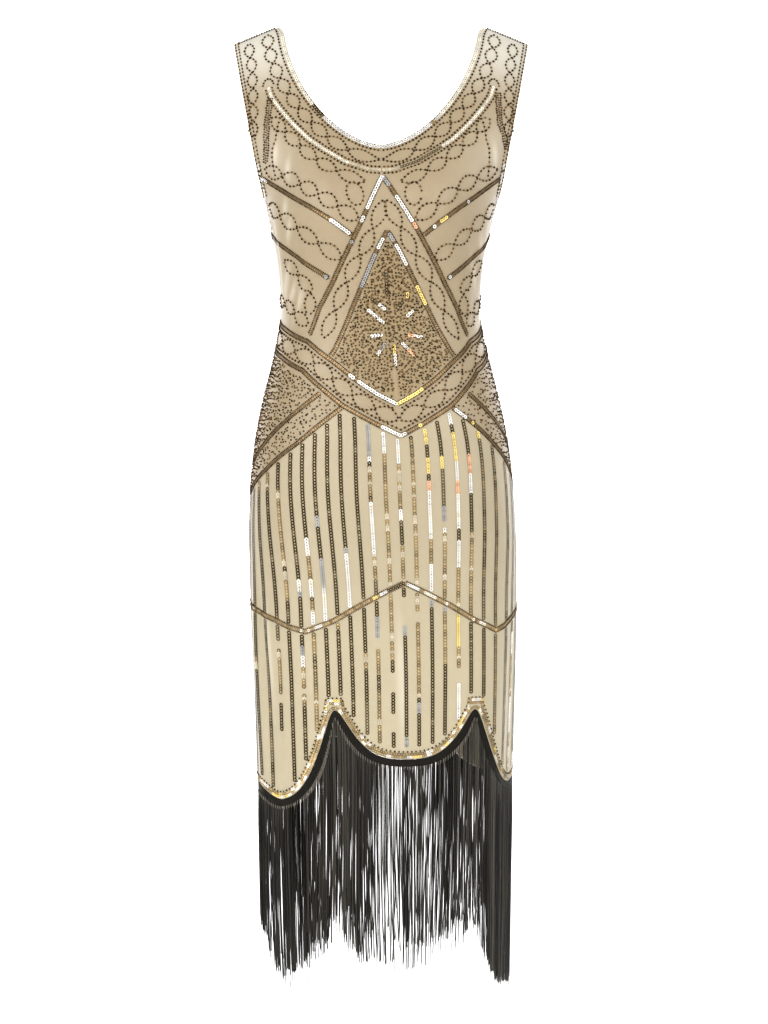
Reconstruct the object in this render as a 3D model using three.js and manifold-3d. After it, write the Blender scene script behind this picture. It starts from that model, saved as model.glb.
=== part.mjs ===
// Sleeveless flapper dress with a scalloped, fringed hem, hollow, in the form it takes when worn.
// Millimetres, +Z up, the front faces -Y. The origin lies midway between the two shoulder seams.
//
// The cloth is one surface of two parameters: a turn round the body, in degrees from the centre front,
// and a level, which is the height before the slope of the shoulders is added. The front and back
// panels are cut out of that surface and given a wall, and the fringe hangs below their hem.
import * as THREE from "three";
import { mergeVertices } from "three/addons/utils/BufferGeometryUtils.js";
import Module from "manifold-3d";

// Cloth
const CLOTH_THICKNESS = 1.5;
const SEAM_GAP = 0.4;
const BEIGE = 0xcdbd95;

// Shoulders: a straight seam that slopes down from the neck to the outer end of the strap.
const STRAP_INNER_X = 136;
const STRAP_OUTER_X = 197;
const SHOULDER_SLOPE = 0.4;
const SLOPE_REACH = 150;
const SHOULDER_MIDDLE_X = (STRAP_INNER_X + STRAP_OUTER_X) / 2;
const STRAP_TOP = SHOULDER_SLOPE * (SHOULDER_MIDDLE_X - STRAP_INNER_X);
const STRAP_END = SHOULDER_SLOPE * (SHOULDER_MIDDLE_X - STRAP_OUTER_X);
// How far the neckline flares out to meet the seam, and the share of the way up at which that starts.
const NECK_FLARE = 7;
const FLARE_FROM = 0.92;

// Bodice
const UNDERARM = -220;
const BUST = { level: -238, spacing: 82, spread: 52, fullness: 13 };
const SQUARENESS = 0.06;

// Horizontal sections of the body form: half width, depth in front of the shoulder seam and behind it,
// the turn of the cloth's centre front to the wearer's left, and the sideways sway of the section.
const SECTIONS = [
  { level: 0, width: 200, front: 0, back: 0, twist: 0, sway: 0 },
  { level: -3, width: 202, front: 13, back: 12, twist: 0, sway: 0 },
  { level: -12, width: 204, front: 27, back: 26, twist: 0, sway: 0 },
  { level: -30, width: 207, front: 41, back: 46, twist: 0, sway: 0 },
  { level: -70, width: 210, front: 60, back: 75, twist: 0, sway: 0 },
  { level: -120, width: 207, front: 83, back: 95, twist: 0, sway: 0 },
  { level: -170, width: 187, front: 104, back: 103, twist: 0, sway: 0 },
  { level: -220, width: 157, front: 118, back: 103, twist: 1.5, sway: 0 },
  { level: -260, width: 147, front: 119, back: 98, twist: 3.5, sway: -1 },
  { level: -310, width: 137, front: 105, back: 88, twist: 4.5, sway: -1 },
  { level: -370, width: 133, front: 95, back: 81, twist: 5.5, sway: -1 },
  { level: -430, width: 143, front: 99, back: 95, twist: 6.5, sway: 0 },
  { level: -490, width: 158, front: 107, back: 112, twist: 7.5, sway: 0 },
  { level: -550, width: 169.5, front: 113, back: 124, twist: 9, sway: 0.5 },
  { level: -620, width: 176.5, front: 115, back: 128, twist: 9.5, sway: 1 },
  { level: -680, width: 179, front: 114, back: 127, twist: 10, sway: 2 },
  { level: -760, width: 178, front: 112, back: 124, twist: 10.5, sway: 3 },
  { level: -880, width: 174, front: 109, back: 120, twist: 11, sway: 4.5 },
  { level: -1030, width: 169.5, front: 106, back: 116, twist: 11.5, sway: 4.5 },
  { level: -1300, width: 165, front: 102, back: 112, twist: 11.5, sway: 5 },
];

// Soft folds: where they lie, how long and wide they are, how far they stand out, and how far
// their lower end turns away from their upper end.
const FOLDS = [
  { turn: -66, level: -285, length: 120, width: 9, height: 3.5, lean: -9 },
  { turn: -47, level: -318, length: 90, width: 8, height: 2.5, lean: -8 },
  { turn: 64, level: -290, length: 110, width: 9, height: 3, lean: 8 },
  { turn: 150, level: -350, length: 100, width: 12, height: 3, lean: 6 },
  { turn: -150, level: -345, length: 100, width: 12, height: 3, lean: -6 },
  { turn: -79, level: -850, length: 220, width: 7, height: 3.5, lean: 3 },
];
// Gentle waves of the hanging skirt, growing from the hip to the hem.
const SKIRT_WAVES = { count: 9, from: -640, to: -1000, height: 2.2, phase: 0.6 };

// Panels: the middle of each, its neckline, and where its armhole edge passes at half height.
const PANELS = [
  { name: "front", middle: 0, neckDepth: 168, neckPower: 1.71, armholeX: 177 },
  { name: "back", middle: 180, neckDepth: 205, neckPower: 1.9, armholeX: 180 },
];
const HALF_PANEL = 90;
const BODY_LEVELS = [-820, -730, -650, -580, -520, -470, -430, -395, -365, -335, -305, -275, -247];
const STRAP_STEPS = [0, 0.09, 0.18, 0.28, 0.39, 0.5, 0.61, 0.72, 0.83, 0.92, 0.965, 1];
const NECK_STEP = 2;

// Scalloped hem: one scallop at the front, one at the back and a longer one at each side, from peak to peak,
// each with its lowest point and a power that says how square it is.
// The peaks are rounded over a few degrees.
const HEM_PEAK = -895;
const PEAK_ROUND = 3.4;
const SCALLOPS = [
  { middle: -1.6, halfSpan: 31, bottom: -959, power: 3.6 },
  { middle: 90, halfSpan: 60.6, bottom: -1000, power: 6.2 },
  { middle: 181.6, halfSpan: 31, bottom: -959, power: 3.6 },
  { middle: -90, halfSpan: 57.4, bottom: -1019, power: 7 },
];
// The hem also rises a little towards each side seam.
const SEAM_RISE = { height: 22, half: 30 };
// Where the columns stand in a scallop, as shares of its half span,
// and how near the middle or a side seam they may be.
const SCALLOP_STEPS = [-0.96, -0.88, -0.77, -0.6, -0.4, -0.2, 0, 0.2, 0.4, 0.6, 0.77, 0.88, 0.96];
const LEAST_COLUMN = 3;

// Fringe: a header tape that follows the hem, and strands that hang from it to a softer line of scallops.
const BLACK = 0x16140f;
const TAPE_WIDTH = 10;
const TAPE_GAP = 0.5;
const STRANDS_PER_PANEL = 120;
const STRAND_SIDES = 3;
const STRAND_RADIUS = 0.85;
const STRAND_STEPS = [0, 0.5, 1];
const STRAND_LAYER = 1.3;
const STRAND_SWING = { reach: 2.5, turns: 7, falls: 0.9 };
const FRINGE_END = { peak: -1181, drop: 0.78, ragged: 7 };

const RADIANS = Math.PI / 180;

// A column of a table at a level, on a smooth curve through the rows that never overshoots them.
function along(rows, column, level) {
  const last = rows.length - 1;
  const slopeAfter = (k) =>
    (rows[k + 1][column] - rows[k][column]) / (rows[k + 1].level - rows[k].level);
  const tangent = (k) => {
    if (k === 0) return slopeAfter(0);
    if (k === last) return slopeAfter(last - 1);
    const [a, b] = [slopeAfter(k - 1), slopeAfter(k)];
    return a * b <= 0 ? 0 : (2 * a * b) / (a + b);
  };
  const below = rows.findIndex((row, k) => k > 0 && level >= row.level);
  const k = below < 0 ? last - 1 : below - 1;
  const span = rows[k + 1].level - rows[k].level;
  const u = THREE.MathUtils.clamp((level - rows[k].level) / span, 0, 1);
  const [u2, u3] = [u * u, u * u * u];
  return (
    (2 * u3 - 3 * u2 + 1) * rows[k][column] +
    (u3 - 2 * u2 + u) * span * tangent(k) +
    (3 * u2 - 2 * u3) * rows[k + 1][column] +
    (u3 - u2) * span * tangent(k + 1)
  );
}

// The shorter way round from one turn to another, in degrees.
const turnBetween = (a, b) => THREE.MathUtils.euclideanModulo(a - b + 180, 360) - 180;

// How far the folds and the skirt's waves lift the cloth outwards.
function foldHeight(turn, level) {
  const growth = THREE.MathUtils.smoothstep(-level, -SKIRT_WAVES.from, -SKIRT_WAVES.to);
  const wave = Math.cos(SKIRT_WAVES.count * turn * RADIANS + SKIRT_WAVES.phase);
  return FOLDS.reduce((sum, fold) => {
    const down = (fold.level - level) / (fold.length / 2);
    const across = turnBetween(turn, fold.turn + (fold.lean * down) / 2) / fold.width;
    return sum + fold.height * Math.exp(-across * across - down * down);
  }, SKIRT_WAVES.height * growth * wave);
}

// How far the sloping shoulders raise the cloth at a place beside the middle.
function shoulderLift(x, level) {
  const share = THREE.MathUtils.clamp(1 + level / SLOPE_REACH, 0, 1);
  return SHOULDER_SLOPE * (SHOULDER_MIDDLE_X - Math.abs(x)) * share * share;
}

// Sideways place on a section before its sway, for an angle round the body.
const acrossSection = (angle, level) =>
  along(SECTIONS, "width", level) * Math.sin(angle) * (1 + SQUARENESS * Math.sin(2 * angle) ** 2);

// The middle of the cloth's wall at a turn and a level.
function clothPoint(turn, level) {
  const angle = (turn + along(SECTIONS, "twist", level)) * RADIANS;
  const corner = 1 + SQUARENESS * Math.sin(2 * angle) ** 2;
  const depth = along(SECTIONS, Math.cos(angle) >= 0 ? "front" : "back", level);
  const fold = foldHeight(turn, level);
  const x = acrossSection(angle, level);
  const bustAway = ((Math.abs(x) - BUST.spacing) ** 2 + (level - BUST.level) ** 2) / BUST.spread ** 2;
  const bust = Math.cos(angle) > 0 ? BUST.fullness * Math.cos(angle) * Math.exp(-bustAway) : 0;
  return new THREE.Vector3(
    x + fold * Math.sin(angle) + along(SECTIONS, "sway", level),
    -(depth * corner + fold) * Math.cos(angle) - bust,
    level + shoulderLift(x, level),
  );
}

// The outward direction of the cloth, from its slopes round the body and up it.
function clothNormal(turn, level) {
  const reach = 0.5;
  const round = clothPoint(turn + reach, level).sub(clothPoint(turn - reach, level));
  const up = clothPoint(turn, level + reach).sub(clothPoint(turn, level - reach));
  return round.cross(up).normalize();
}

// The place on a panel that shows at x and z from the front: how far it turns away from the panel's middle,
// and its level.
function placeOnPanel(x, z) {
  let level = z;
  for (let pass = 0; pass < 12; pass++) level = Math.min(0, z - shoulderLift(x, level));
  let [low, high] = [0, HALF_PANEL];
  for (let pass = 0; pass < 30; pass++) {
    const middle = (low + high) / 2;
    if (acrossSection(middle * RADIANS, level) < x) low = middle;
    else high = middle;
  }
  return { away: low, level };
}

// The scallop that a turn lies in.
function scallopAt(turn) {
  const share = (s) => Math.abs(turnBetween(turn, s.middle)) / s.halfSpan;
  return SCALLOPS.reduce((nearest, s) => (share(s) < share(nearest) ? s : nearest));
}

// How far the hem rises at a turn because a side seam is near.
function seamRise(turn) {
  const fromSeam = Math.abs(Math.abs(turnBetween(turn, 0)) - HALF_PANEL);
  const share = Math.min(1, fromSeam / SEAM_RISE.half);
  return SEAM_RISE.height * (1 - share ** 2) ** 2;
}

// The height of the hem at a turn: each scallop falls from its rounded peaks to its lowest point.
function hemLevel(turn) {
  const scallop = scallopAt(turn);
  const fromPeak = Math.max(0, scallop.halfSpan - Math.abs(turnBetween(turn, scallop.middle)));
  const share = 1 - (Math.hypot(fromPeak, PEAK_ROUND) - PEAK_ROUND) / scallop.halfSpan;
  return HEM_PEAK + (scallop.bottom - HEM_PEAK) * (1 - share ** scallop.power) + seamRise(turn);
}

// The turns at which a panel's columns stand, closest where the scallops are steepest.
function columnTurns(panel) {
  const turns = SCALLOPS.flatMap((s) => SCALLOP_STEPS.map((step) => s.middle + step * s.halfSpan))
    .map((turn) => turnBetween(turn, panel.middle))
    .filter((away) => Math.abs(away) < HALF_PANEL - LEAST_COLUMN && Math.abs(away) > LEAST_COLUMN);
  return [-HALF_PANEL, ...turns, 0, HALF_PANEL].sort((a, b) => a - b);
}

// The inner edge of a strap, up the centre line and then round the neck to the shoulder seam.
function innerEdge(panel, step) {
  const neckBottom = STRAP_TOP - panel.neckDepth;
  const neckStep = STRAP_STEPS[NECK_STEP];
  if (step <= neckStep) {
    const level = placeOnPanel(0, neckBottom).level;
    return { away: 0, level: THREE.MathUtils.lerp(UNDERARM, level, step / neckStep) };
  }
  const share = (step - neckStep) / (1 - neckStep);
  const quarter = share * 90 * RADIANS;
  const flare = NECK_FLARE * THREE.MathUtils.smoothstep(share, FLARE_FROM, 1);
  const x = (STRAP_INNER_X - NECK_FLARE) * Math.sin(quarter) ** (2 / panel.neckPower) + flare;
  const z = STRAP_TOP - panel.neckDepth * Math.cos(quarter) ** (2 / panel.neckPower);
  return placeOnPanel(x, z);
}

// The armhole edge, from the underarm to the outer end of the shoulder seam.
function outerEdge(panel, step) {
  const rise = (1 - Math.cos(step * 180 * RADIANS)) / 2;
  const z = THREE.MathUtils.lerp(UNDERARM, STRAP_END, rise);
  const bow = panel.armholeX - (STRAP_OUTER_X + along(SECTIONS, "width", UNDERARM)) / 2;
  const straight = THREE.MathUtils.lerp(along(SECTIONS, "width", UNDERARM), STRAP_OUTER_X, rise);
  return step === 0
    ? { away: HALF_PANEL, level: UNDERARM }
    : placeOnPanel(straight + bow * 4 * rise * (1 - rise), z);
}

// A point of a panel's wall: its middle and its outward direction.
// A seam edge is drawn back by half the gap, and on the shoulder the cloth lies flat over the top.
function wallPoint(panel, away, level) {
  const turn = panel.middle + away;
  const middle = clothPoint(turn, level);
  const facing = panel.middle === 0 ? -1 : 1;
  if (level > -1e-6) {
    const outward = new THREE.Vector3(SHOULDER_SLOPE * Math.sign(middle.x), 0, 1).normalize();
    return { middle: middle.setY((facing * SEAM_GAP) / 2), outward };
  }
  const outward = clothNormal(turn, level);
  if (Math.abs(away) > HALF_PANEL - 1e-6) {
    const round = new THREE.Vector3(-outward.y, outward.x, 0).normalize();
    middle.addScaledVector(round, (-Math.sign(away) * SEAM_GAP) / 2);
  }
  return { middle, outward };
}

// A closed wall on a sheet of quads whose corners are wall points. Corners at one place are merged,
// and every edge with a quad on one side only gets a rim.
function wall(quads, thickness) {
  const positions = quads.flat().flatMap((corner) => corner.middle.toArray());
  const outwards = quads.flat().flatMap((corner) => corner.outward.toArray());
  const sheet = new THREE.BufferGeometry();
  sheet.setAttribute("position", new THREE.Float32BufferAttribute(positions, 3));
  sheet.setIndex(quads.flatMap((_, k) => [0, 1, 2, 0, 2, 3].map((corner) => 4 * k + corner)));
  const merged = mergeVertices(sheet, 1e-3);
  const count = merged.attributes.position.count;
  const normals = new Float32Array(count * 3);
  const plain = sheet.index.array;
  merged.index.array.forEach((vertex, k) => {
    for (let axis = 0; axis < 3; axis++) normals[3 * vertex + axis] = outwards[3 * plain[k] + axis];
  });
  const points = [];
  for (const sign of [1, -1])
    for (let k = 0; k < count * 3; k++)
      points.push(merged.attributes.position.array[k] + (sign * thickness * normals[k]) / 2);
  const outer = [...merged.index.array];
  const faces = [...outer];
  const edges = new Map();
  for (let k = 0; k < outer.length; k += 3) {
    const [a, b, c] = outer.slice(k, k + 3);
    faces.push(count + a, count + c, count + b);
    for (const [from, to] of [[a, b], [b, c], [c, a]]) {
      if (!edges.delete(`${to} ${from}`)) edges.set(`${from} ${to}`, [from, to]);
    }
  }
  for (const [from, to] of edges.values())
    faces.push(to, from, count + from, to, count + from, count + to);
  const closed = new THREE.BufferGeometry();
  closed.setAttribute("position", new THREE.Float32BufferAttribute(points, 3));
  closed.setIndex(faces);
  return closed;
}

// The quads between neighbouring rows of wall points, facing out.
function quadsBetween(rows) {
  const quads = [];
  for (let j = 0; j + 1 < rows.length; j++)
    for (let i = 0; i + 1 < rows[j].length; i++)
      quads.push([rows[j][i], rows[j][i + 1], rows[j + 1][i + 1], rows[j + 1][i]]);
  return quads;
}

// A panel from hem to shoulders: the body up to the underarm, then a strap on each side of the neck.
function panelGeometry(panel) {
  const turns = columnTurns(panel);
  const body = [HEM_PEAK, ...BODY_LEVELS, UNDERARM].map((level) =>
    turns.map((away) => {
      const hem = hemLevel(panel.middle + away);
      return wallPoint(panel, away, THREE.MathUtils.mapLinear(level, HEM_PEAK, UNDERARM, hem, UNDERARM));
    }),
  );
  const straps = [-1, 1].flatMap((side) => {
    const shares = turns.filter((away) => away * side >= 0).map((away) => away / HALF_PANEL);
    return quadsBetween(
      STRAP_STEPS.map((step) => {
        const [inner, outer] = [innerEdge(panel, step), outerEdge(panel, step)];
        return shares.map((share) => {
          const size = Math.abs(share);
          const away = side * THREE.MathUtils.lerp(inner.away, outer.away, size);
          return wallPoint(panel, away, THREE.MathUtils.lerp(inner.level, outer.level, size));
        });
      }),
    );
  });
  return wall([...quadsBetween(body), ...straps], CLOTH_THICKNESS);
}

// A line that runs a set distance below the hem, measured square to it.
function belowHem(turn, distance) {
  const reach = 1;
  const across = clothPoint(turn + reach, HEM_PEAK).distanceTo(clothPoint(turn - reach, HEM_PEAK));
  const steepness = (hemLevel(turn + reach) - hemLevel(turn - reach)) / across;
  return hemLevel(turn) - distance * Math.hypot(1, steepness);
}

// Where the strands end: scallops like the hem's, but shallower, with ragged tips.
function fringeEnd(turn, index) {
  const fall = (hemLevel(turn) - HEM_PEAK) * FRINGE_END.drop;
  return FRINGE_END.peak + fall + FRINGE_END.ragged * Math.sin(index * 2.4);
}

// Turns spaced evenly along the header tape, so that strands crowd where the hem is steep.
function strandTurns(panel) {
  const edge = HALF_PANEL - 1;
  const fine = Array.from({ length: 721 }, (_, k) => panel.middle + edge * (k / 360 - 1));
  const lengths = fine.map((turn, k) => {
    if (k === 0) return 0;
    const [here, before] = [turn, fine[k - 1]].map((t) => clothPoint(t, hemLevel(t)));
    return here.distanceTo(before);
  });
  const total = lengths.reduce((sum, length) => sum + length, 0);
  const turns = [];
  let run = 0;
  fine.forEach((turn, k) => {
    run += lengths[k];
    const wanted = (turns.length + 0.5) * (total / STRANDS_PER_PANEL);
    if (run >= wanted && turns.length < STRANDS_PER_PANEL) turns.push(turn);
  });
  return turns;
}

// The middle of the tape at a turn, on the straight piece between two of its columns.
function tapeMiddle(panel, turn) {
  const turns = columnTurns(panel).map((away) => panel.middle + away);
  const k = Math.max(1, turns.findIndex((column) => column >= turn));
  const [before, after] = [turns[k - 1], turns[k]].map((column) =>
    clothPoint(column, belowHem(column, TAPE_WIDTH / 2)),
  );
  return before.lerp(after, (turn - turns[k - 1]) / (turns[k] - turns[k - 1]));
}

// One strand, a thin prism from inside the tape down to its end, in one of two layers.
function strandGeometry(panel, turn, index) {
  const root = tapeMiddle(panel, turn);
  const end = fringeEnd(turn, index);
  const layer = index % 2 ? STRAND_LAYER : -STRAND_LAYER;
  const rings = STRAND_STEPS.map((step) => {
    const level = THREE.MathUtils.lerp(root.z, end, step);
    const swing = Math.sin(turn * RADIANS * STRAND_SWING.turns + step * STRAND_SWING.falls * Math.PI);
    const hanging = clothPoint(turn, level).addScaledVector(clothNormal(turn, level), layer);
    hanging.x += STRAND_SWING.reach * step * swing;
    const centre = step === 0 ? root : hanging;
    return Array.from({ length: STRAND_SIDES }, (_, k) => {
      const angle = (k / STRAND_SIDES) * 2 * Math.PI;
      const x = centre.x + STRAND_RADIUS * Math.cos(angle);
      const y = centre.y + STRAND_RADIUS * Math.sin(angle);
      return [x, y, centre.z];
    });
  });
  const faces = [];
  for (let j = 0; j + 1 < rings.length; j++)
    for (let k = 0; k < STRAND_SIDES; k++) {
      const [a, b] = [j * STRAND_SIDES + k, j * STRAND_SIDES + ((k + 1) % STRAND_SIDES)];
      faces.push(a, a + STRAND_SIDES, b, b, a + STRAND_SIDES, b + STRAND_SIDES);
    }
  const foot = (rings.length - 1) * STRAND_SIDES;
  for (let k = 1; k + 1 < STRAND_SIDES; k++) {
    faces.push(0, k, k + 1);
    faces.push(foot, foot + k + 1, foot + k);
  }
  const strand = new THREE.BufferGeometry();
  strand.setAttribute("position", new THREE.Float32BufferAttribute(rings.flat(2), 3));
  strand.setIndex(faces);
  return strand;
}

const wasm = await Module();
wasm.setup();

// A closed geometry as a solid that can be joined.
function solid(geometry) {
  const { position } = geometry.attributes;
  return new wasm.Manifold(
    new wasm.Mesh({
      numProp: 3,
      vertProperties: new Float32Array(position.array),
      triVerts: new Uint32Array(geometry.index.array),
    }),
  );
}

// A panel's fringe: the header tape with every strand joined to it.
function fringeGeometry(panel) {
  const turns = columnTurns(panel);
  const rows = [TAPE_WIDTH, TAPE_GAP].map((distance) =>
    turns.map((away) => wallPoint(panel, away, belowHem(panel.middle + away, distance))),
  );
  const tape = solid(wall(quadsBetween(rows), CLOTH_THICKNESS));
  const joined = strandTurns(panel)
    .map((turn, index) => solid(strandGeometry(panel, turn, index)))
    .reduce((sum, strand) => sum.add(strand), tape);
  const mesh = joined.getMesh();
  const geometry = new THREE.BufferGeometry();
  geometry.setAttribute("position", new THREE.Float32BufferAttribute(mesh.vertProperties, 3));
  geometry.setIndex(new THREE.BufferAttribute(mesh.triVerts, 1));
  return geometry;
}

// A named piece with a material of its own.
function piece(name, geometry, color, roughness) {
  const mesh = new THREE.Mesh(geometry, new THREE.MeshStandardMaterial({ color, roughness, metalness: 0 }));
  mesh.name = name;
  return mesh;
}

const dress = new THREE.Group();
for (const panel of PANELS) {
  dress.add(piece(panel.name, panelGeometry(panel), BEIGE, 0.6));
  dress.add(piece(`fringe_${panel.name}`, fringeGeometry(panel), BLACK, 0.5));
}

export default dress;
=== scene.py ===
import bpy
import numpy as np
from mathutils import Matrix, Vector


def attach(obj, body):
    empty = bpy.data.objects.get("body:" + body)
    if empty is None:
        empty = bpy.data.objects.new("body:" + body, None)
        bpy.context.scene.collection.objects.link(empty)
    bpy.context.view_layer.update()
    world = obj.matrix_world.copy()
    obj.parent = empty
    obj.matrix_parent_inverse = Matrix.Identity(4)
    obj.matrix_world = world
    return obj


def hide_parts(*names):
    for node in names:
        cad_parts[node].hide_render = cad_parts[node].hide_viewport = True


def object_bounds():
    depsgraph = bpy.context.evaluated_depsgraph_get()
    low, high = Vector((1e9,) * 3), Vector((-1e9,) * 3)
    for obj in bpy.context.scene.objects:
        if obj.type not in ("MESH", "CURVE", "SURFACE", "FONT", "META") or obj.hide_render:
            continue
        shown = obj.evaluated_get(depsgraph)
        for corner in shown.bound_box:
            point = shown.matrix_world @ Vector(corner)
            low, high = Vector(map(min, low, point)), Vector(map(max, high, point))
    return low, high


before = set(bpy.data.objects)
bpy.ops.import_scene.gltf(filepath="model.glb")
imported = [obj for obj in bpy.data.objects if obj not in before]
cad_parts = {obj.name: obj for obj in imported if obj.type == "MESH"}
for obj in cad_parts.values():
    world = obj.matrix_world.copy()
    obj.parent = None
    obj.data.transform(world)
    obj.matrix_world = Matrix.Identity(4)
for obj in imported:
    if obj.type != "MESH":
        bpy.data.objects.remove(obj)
CAD_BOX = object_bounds()

# A sleeveless flapper dress with beaded bodice, sequin stripes and a fringed, scalloped hem.
# Sizes are millimetres, and the meshes are put down in metres in the part's own frame.
# The cloth is one surface of two parameters: a turn round the body, in degrees from the centre front,
# and a level, which is the height before the slope of the shoulders is added. The beadwork is charted
# on each panel by how far it turns away from the panel's middle and by its level.
MM = 0.001
UP = np.array([0.0, 0.0, 1.0])
rng = np.random.default_rng(1926)


def table(columns, rows):
    """A table's columns by name, each as an array."""
    return {name: np.array(values, float) for name, values in zip(columns.split(), zip(*rows))}


def linear(seen):
    """Colours seen on a screen, in parts of 255, as linear light."""
    share = np.asarray(seen) / 255
    return np.where(share <= 0.04045, share / 12.92, ((share + 0.055) / 1.055) ** 2.4)


def srgb(*seen):
    """One colour seen on a screen as linear red, green, blue and full alpha."""
    return (*linear(seen).tolist(), 1.0)


# Horizontal sections of the body form: half width, depth in front of the shoulder seam and behind it,
# the turn of the cloth's centre front to the wearer's left, and the sideways sway of the section.
SECTIONS = table(
    "level width front back twist sway",
    [
        (0, 200, 0, 0, 0, 0),
        (-3, 202, 13, 12, 0, 0),
        (-12, 204, 27, 26, 0, 0),
        (-30, 207, 41, 46, 0, 0),
        (-70, 210, 60, 75, 0, 0),
        (-120, 207, 83, 95, 0, 0),
        (-170, 187, 104, 103, 0, 0),
        (-220, 157, 118, 103, 1.5, 0),
        (-260, 147, 119, 98, 3.5, -1),
        (-310, 137, 105, 88, 4.5, -1),
        (-370, 133, 95, 81, 5.5, -1),
        (-430, 143, 99, 95, 6.5, 0),
        (-490, 158, 107, 112, 7.5, 0),
        (-550, 169.5, 113, 124, 9, 0.5),
        (-620, 176.5, 115, 128, 9.5, 1),
        (-680, 179, 114, 127, 10, 2),
        (-760, 178, 112, 124, 10.5, 3),
        (-880, 174, 109, 120, 11, 4.5),
        (-1030, 169.5, 106, 116, 11.5, 4.5),
        (-1300, 165, 102, 112, 11.5, 5),
    ],
)
SQUARENESS = 0.06
BUST = {"level": -238, "spacing": 82, "spread": 52, "fullness": 13}

# Shoulders, underarm and seams
STRAP_INNER_X = 136
STRAP_OUTER_X = 197
SHOULDER_SLOPE = 0.4
SLOPE_REACH = 150
SHOULDER_MIDDLE_X = (STRAP_INNER_X + STRAP_OUTER_X) / 2
STRAP_TOP = SHOULDER_SLOPE * (SHOULDER_MIDDLE_X - STRAP_INNER_X)
STRAP_END = SHOULDER_SLOPE * (SHOULDER_MIDDLE_X - STRAP_OUTER_X)
NECK_FLARE = 7
FLARE_FROM = 0.92
FLARE_REACH = 15
NECK_WIDENING = 1.12
UNDERARM = -220
HALF_PANEL = 90
NECK_SHARE = 0.18
SEAM_GAP = 0.4
CLOTH_THICKNESS = 1.3

# Soft folds and creases: where they lie, how long and wide they are, how far they stand out or sink in,
# and how far their lower end turns away from their upper end.
FOLDS = table(
    "turn level length width height lean",
    [
        (-66, -285, 120, 9, 3.5, -9),
        (-47, -318, 90, 8, 2.5, -8),
        (64, -290, 110, 9, 3, 8),
        (150, -350, 100, 12, 3, 6),
        (-150, -345, 100, 12, 3, -6),
        (-79, -850, 220, 7, 3.5, 3),
        (-74, -300, 95, 3.2, -1.6, -10),
        (-56, -338, 70, 3, -1.3, -9),
        (-60, -365, 60, 3.4, 1.2, 12),
        (-38, -168, 60, 4.5, -1.3, -12),
        (-24, -190, 55, 4, 1.1, -10),
        (75, -318, 80, 3.2, -1.5, 11),
        (58, -352, 55, 3, -1.1, 10),
        (-72, -820, 150, 2.6, -1.7, 2),
        (-84, -900, 170, 3, -1.6, 2),
        (-58, -930, 120, 4, 1.4, -2),
        (80, -880, 190, 4, -1.5, -2),
        (22, -900, 160, 5, 1.2, 2),
        (-14, -880, 130, 4.5, -1, 1),
        (112, -330, 90, 4, -1.6, 9),
        (132, -375, 70, 3.6, 1.3, -8),
        (-118, -325, 85, 4, -1.5, -9),
        (-136, -380, 75, 3.4, 1.2, 8),
        (170, -420, 90, 5, -1.2, 5),
        (-165, -400, 80, 4.6, -1.1, -6),
        (120, -870, 180, 3.6, -1.6, 3),
        (-125, -850, 200, 3.8, -1.5, -3),
        (160, -900, 150, 4.6, 1.3, 2),
        (-160, -890, 140, 4.2, -1.2, 2),
        (-53, -238, 26, 1.8, 1, -5),
        (-53.5, -264, 30, 1.8, 1.2, -6),
        (-63.5, -330, 44, 2.4, 1.7, -8),
        (-59.5, -347, 34, 2.1, 1.3, -7),
        (-53, -357, 32, 2.2, 1.2, -6),
        (-44, -166, 34, 1.5, 1, -6),
        (-41, -186, 30, 1.4, 1, -6),
        (49, -168, 34, 1.5, 1, 7),
        (55, -324, 48, 2.6, 1.3, 8),
        (58, -282, 30, 2.2, 1, 6),
        (-66, -815, 140, 1.7, 1.3, 2),
        (-70, -850, 120, 1.5, -1.1, 2),
        (-3.5, -860, 150, 1.8, 0.9, 1),
    ],
)
# Folds narrower than this that stand out get a painted highlight on their crests.
RIDGE_WIDTH = 2.7
WAVES = {"count": 9, "from": -640, "to": -1000, "height": 2.2, "phase": 0.6}

# Panels: the middle of each, its neckline, where its armhole edge passes at half height, and which way
# it faces.
PANELS = [
    {"name": "front", "middle": 0, "neck_depth": 168, "neck_power": 1.71, "armhole_x": 177, "facing": -1},
    {"name": "back", "middle": 180, "neck_depth": 205, "neck_power": 1.9, "armhole_x": 180, "facing": 1},
]

# Scalloped hem, each scallop from peak to peak, with its lowest point and a power that says how square
# it is. The peaks are rounded over a few degrees.
HEM_PEAK = -895
PEAK_ROUND = 3.4
SCALLOPS = table(
    "middle half_span bottom power",
    [
        (-1.6, 31, -959, 3.6),
        (90, 60.6, -1000, 6.2),
        (181.6, 31, -959, 3.6),
        (-90, 57.4, -1019, 7),
    ],
)
# The hem also rises a little towards each side seam.
SEAM_RISE = {"height": 22, "half": 30}


# The cloth's surface


def smooth(share):
    """A share held between 0 and 1 and eased at both ends: three squares less two cubes."""
    held = np.clip(share, 0, 1)
    return held * held * (3 - 2 * held)


def along(column, level):
    """A column of the sections at each level: cubic pieces, with harmonic means for their slopes."""
    knots = -SECTIONS["level"]
    values = SECTIONS[column]
    slopes = np.diff(values) / np.diff(knots)
    product = slopes[:-1] * slopes[1:]
    total = np.where(product > 0, slopes[:-1] + slopes[1:], 1)
    inner = np.where(product > 0, 2 * product / total, 0)
    tangents = np.concatenate([slopes[:1], inner, slopes[-1:]])
    fall = -np.asarray(level, float)
    k = np.clip(np.searchsorted(knots, fall, side="right") - 1, 0, len(knots) - 2)
    span = knots[k + 1] - knots[k]
    u = np.clip((fall - knots[k]) / span, 0, 1)
    start = (2 * u**3 - 3 * u**2 + 1) * values[k] + (u**3 - 2 * u**2 + u) * span * tangents[k]
    return start + (3 * u**2 - 2 * u**3) * values[k + 1] + (u**3 - u**2) * span * tangents[k + 1]


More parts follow.
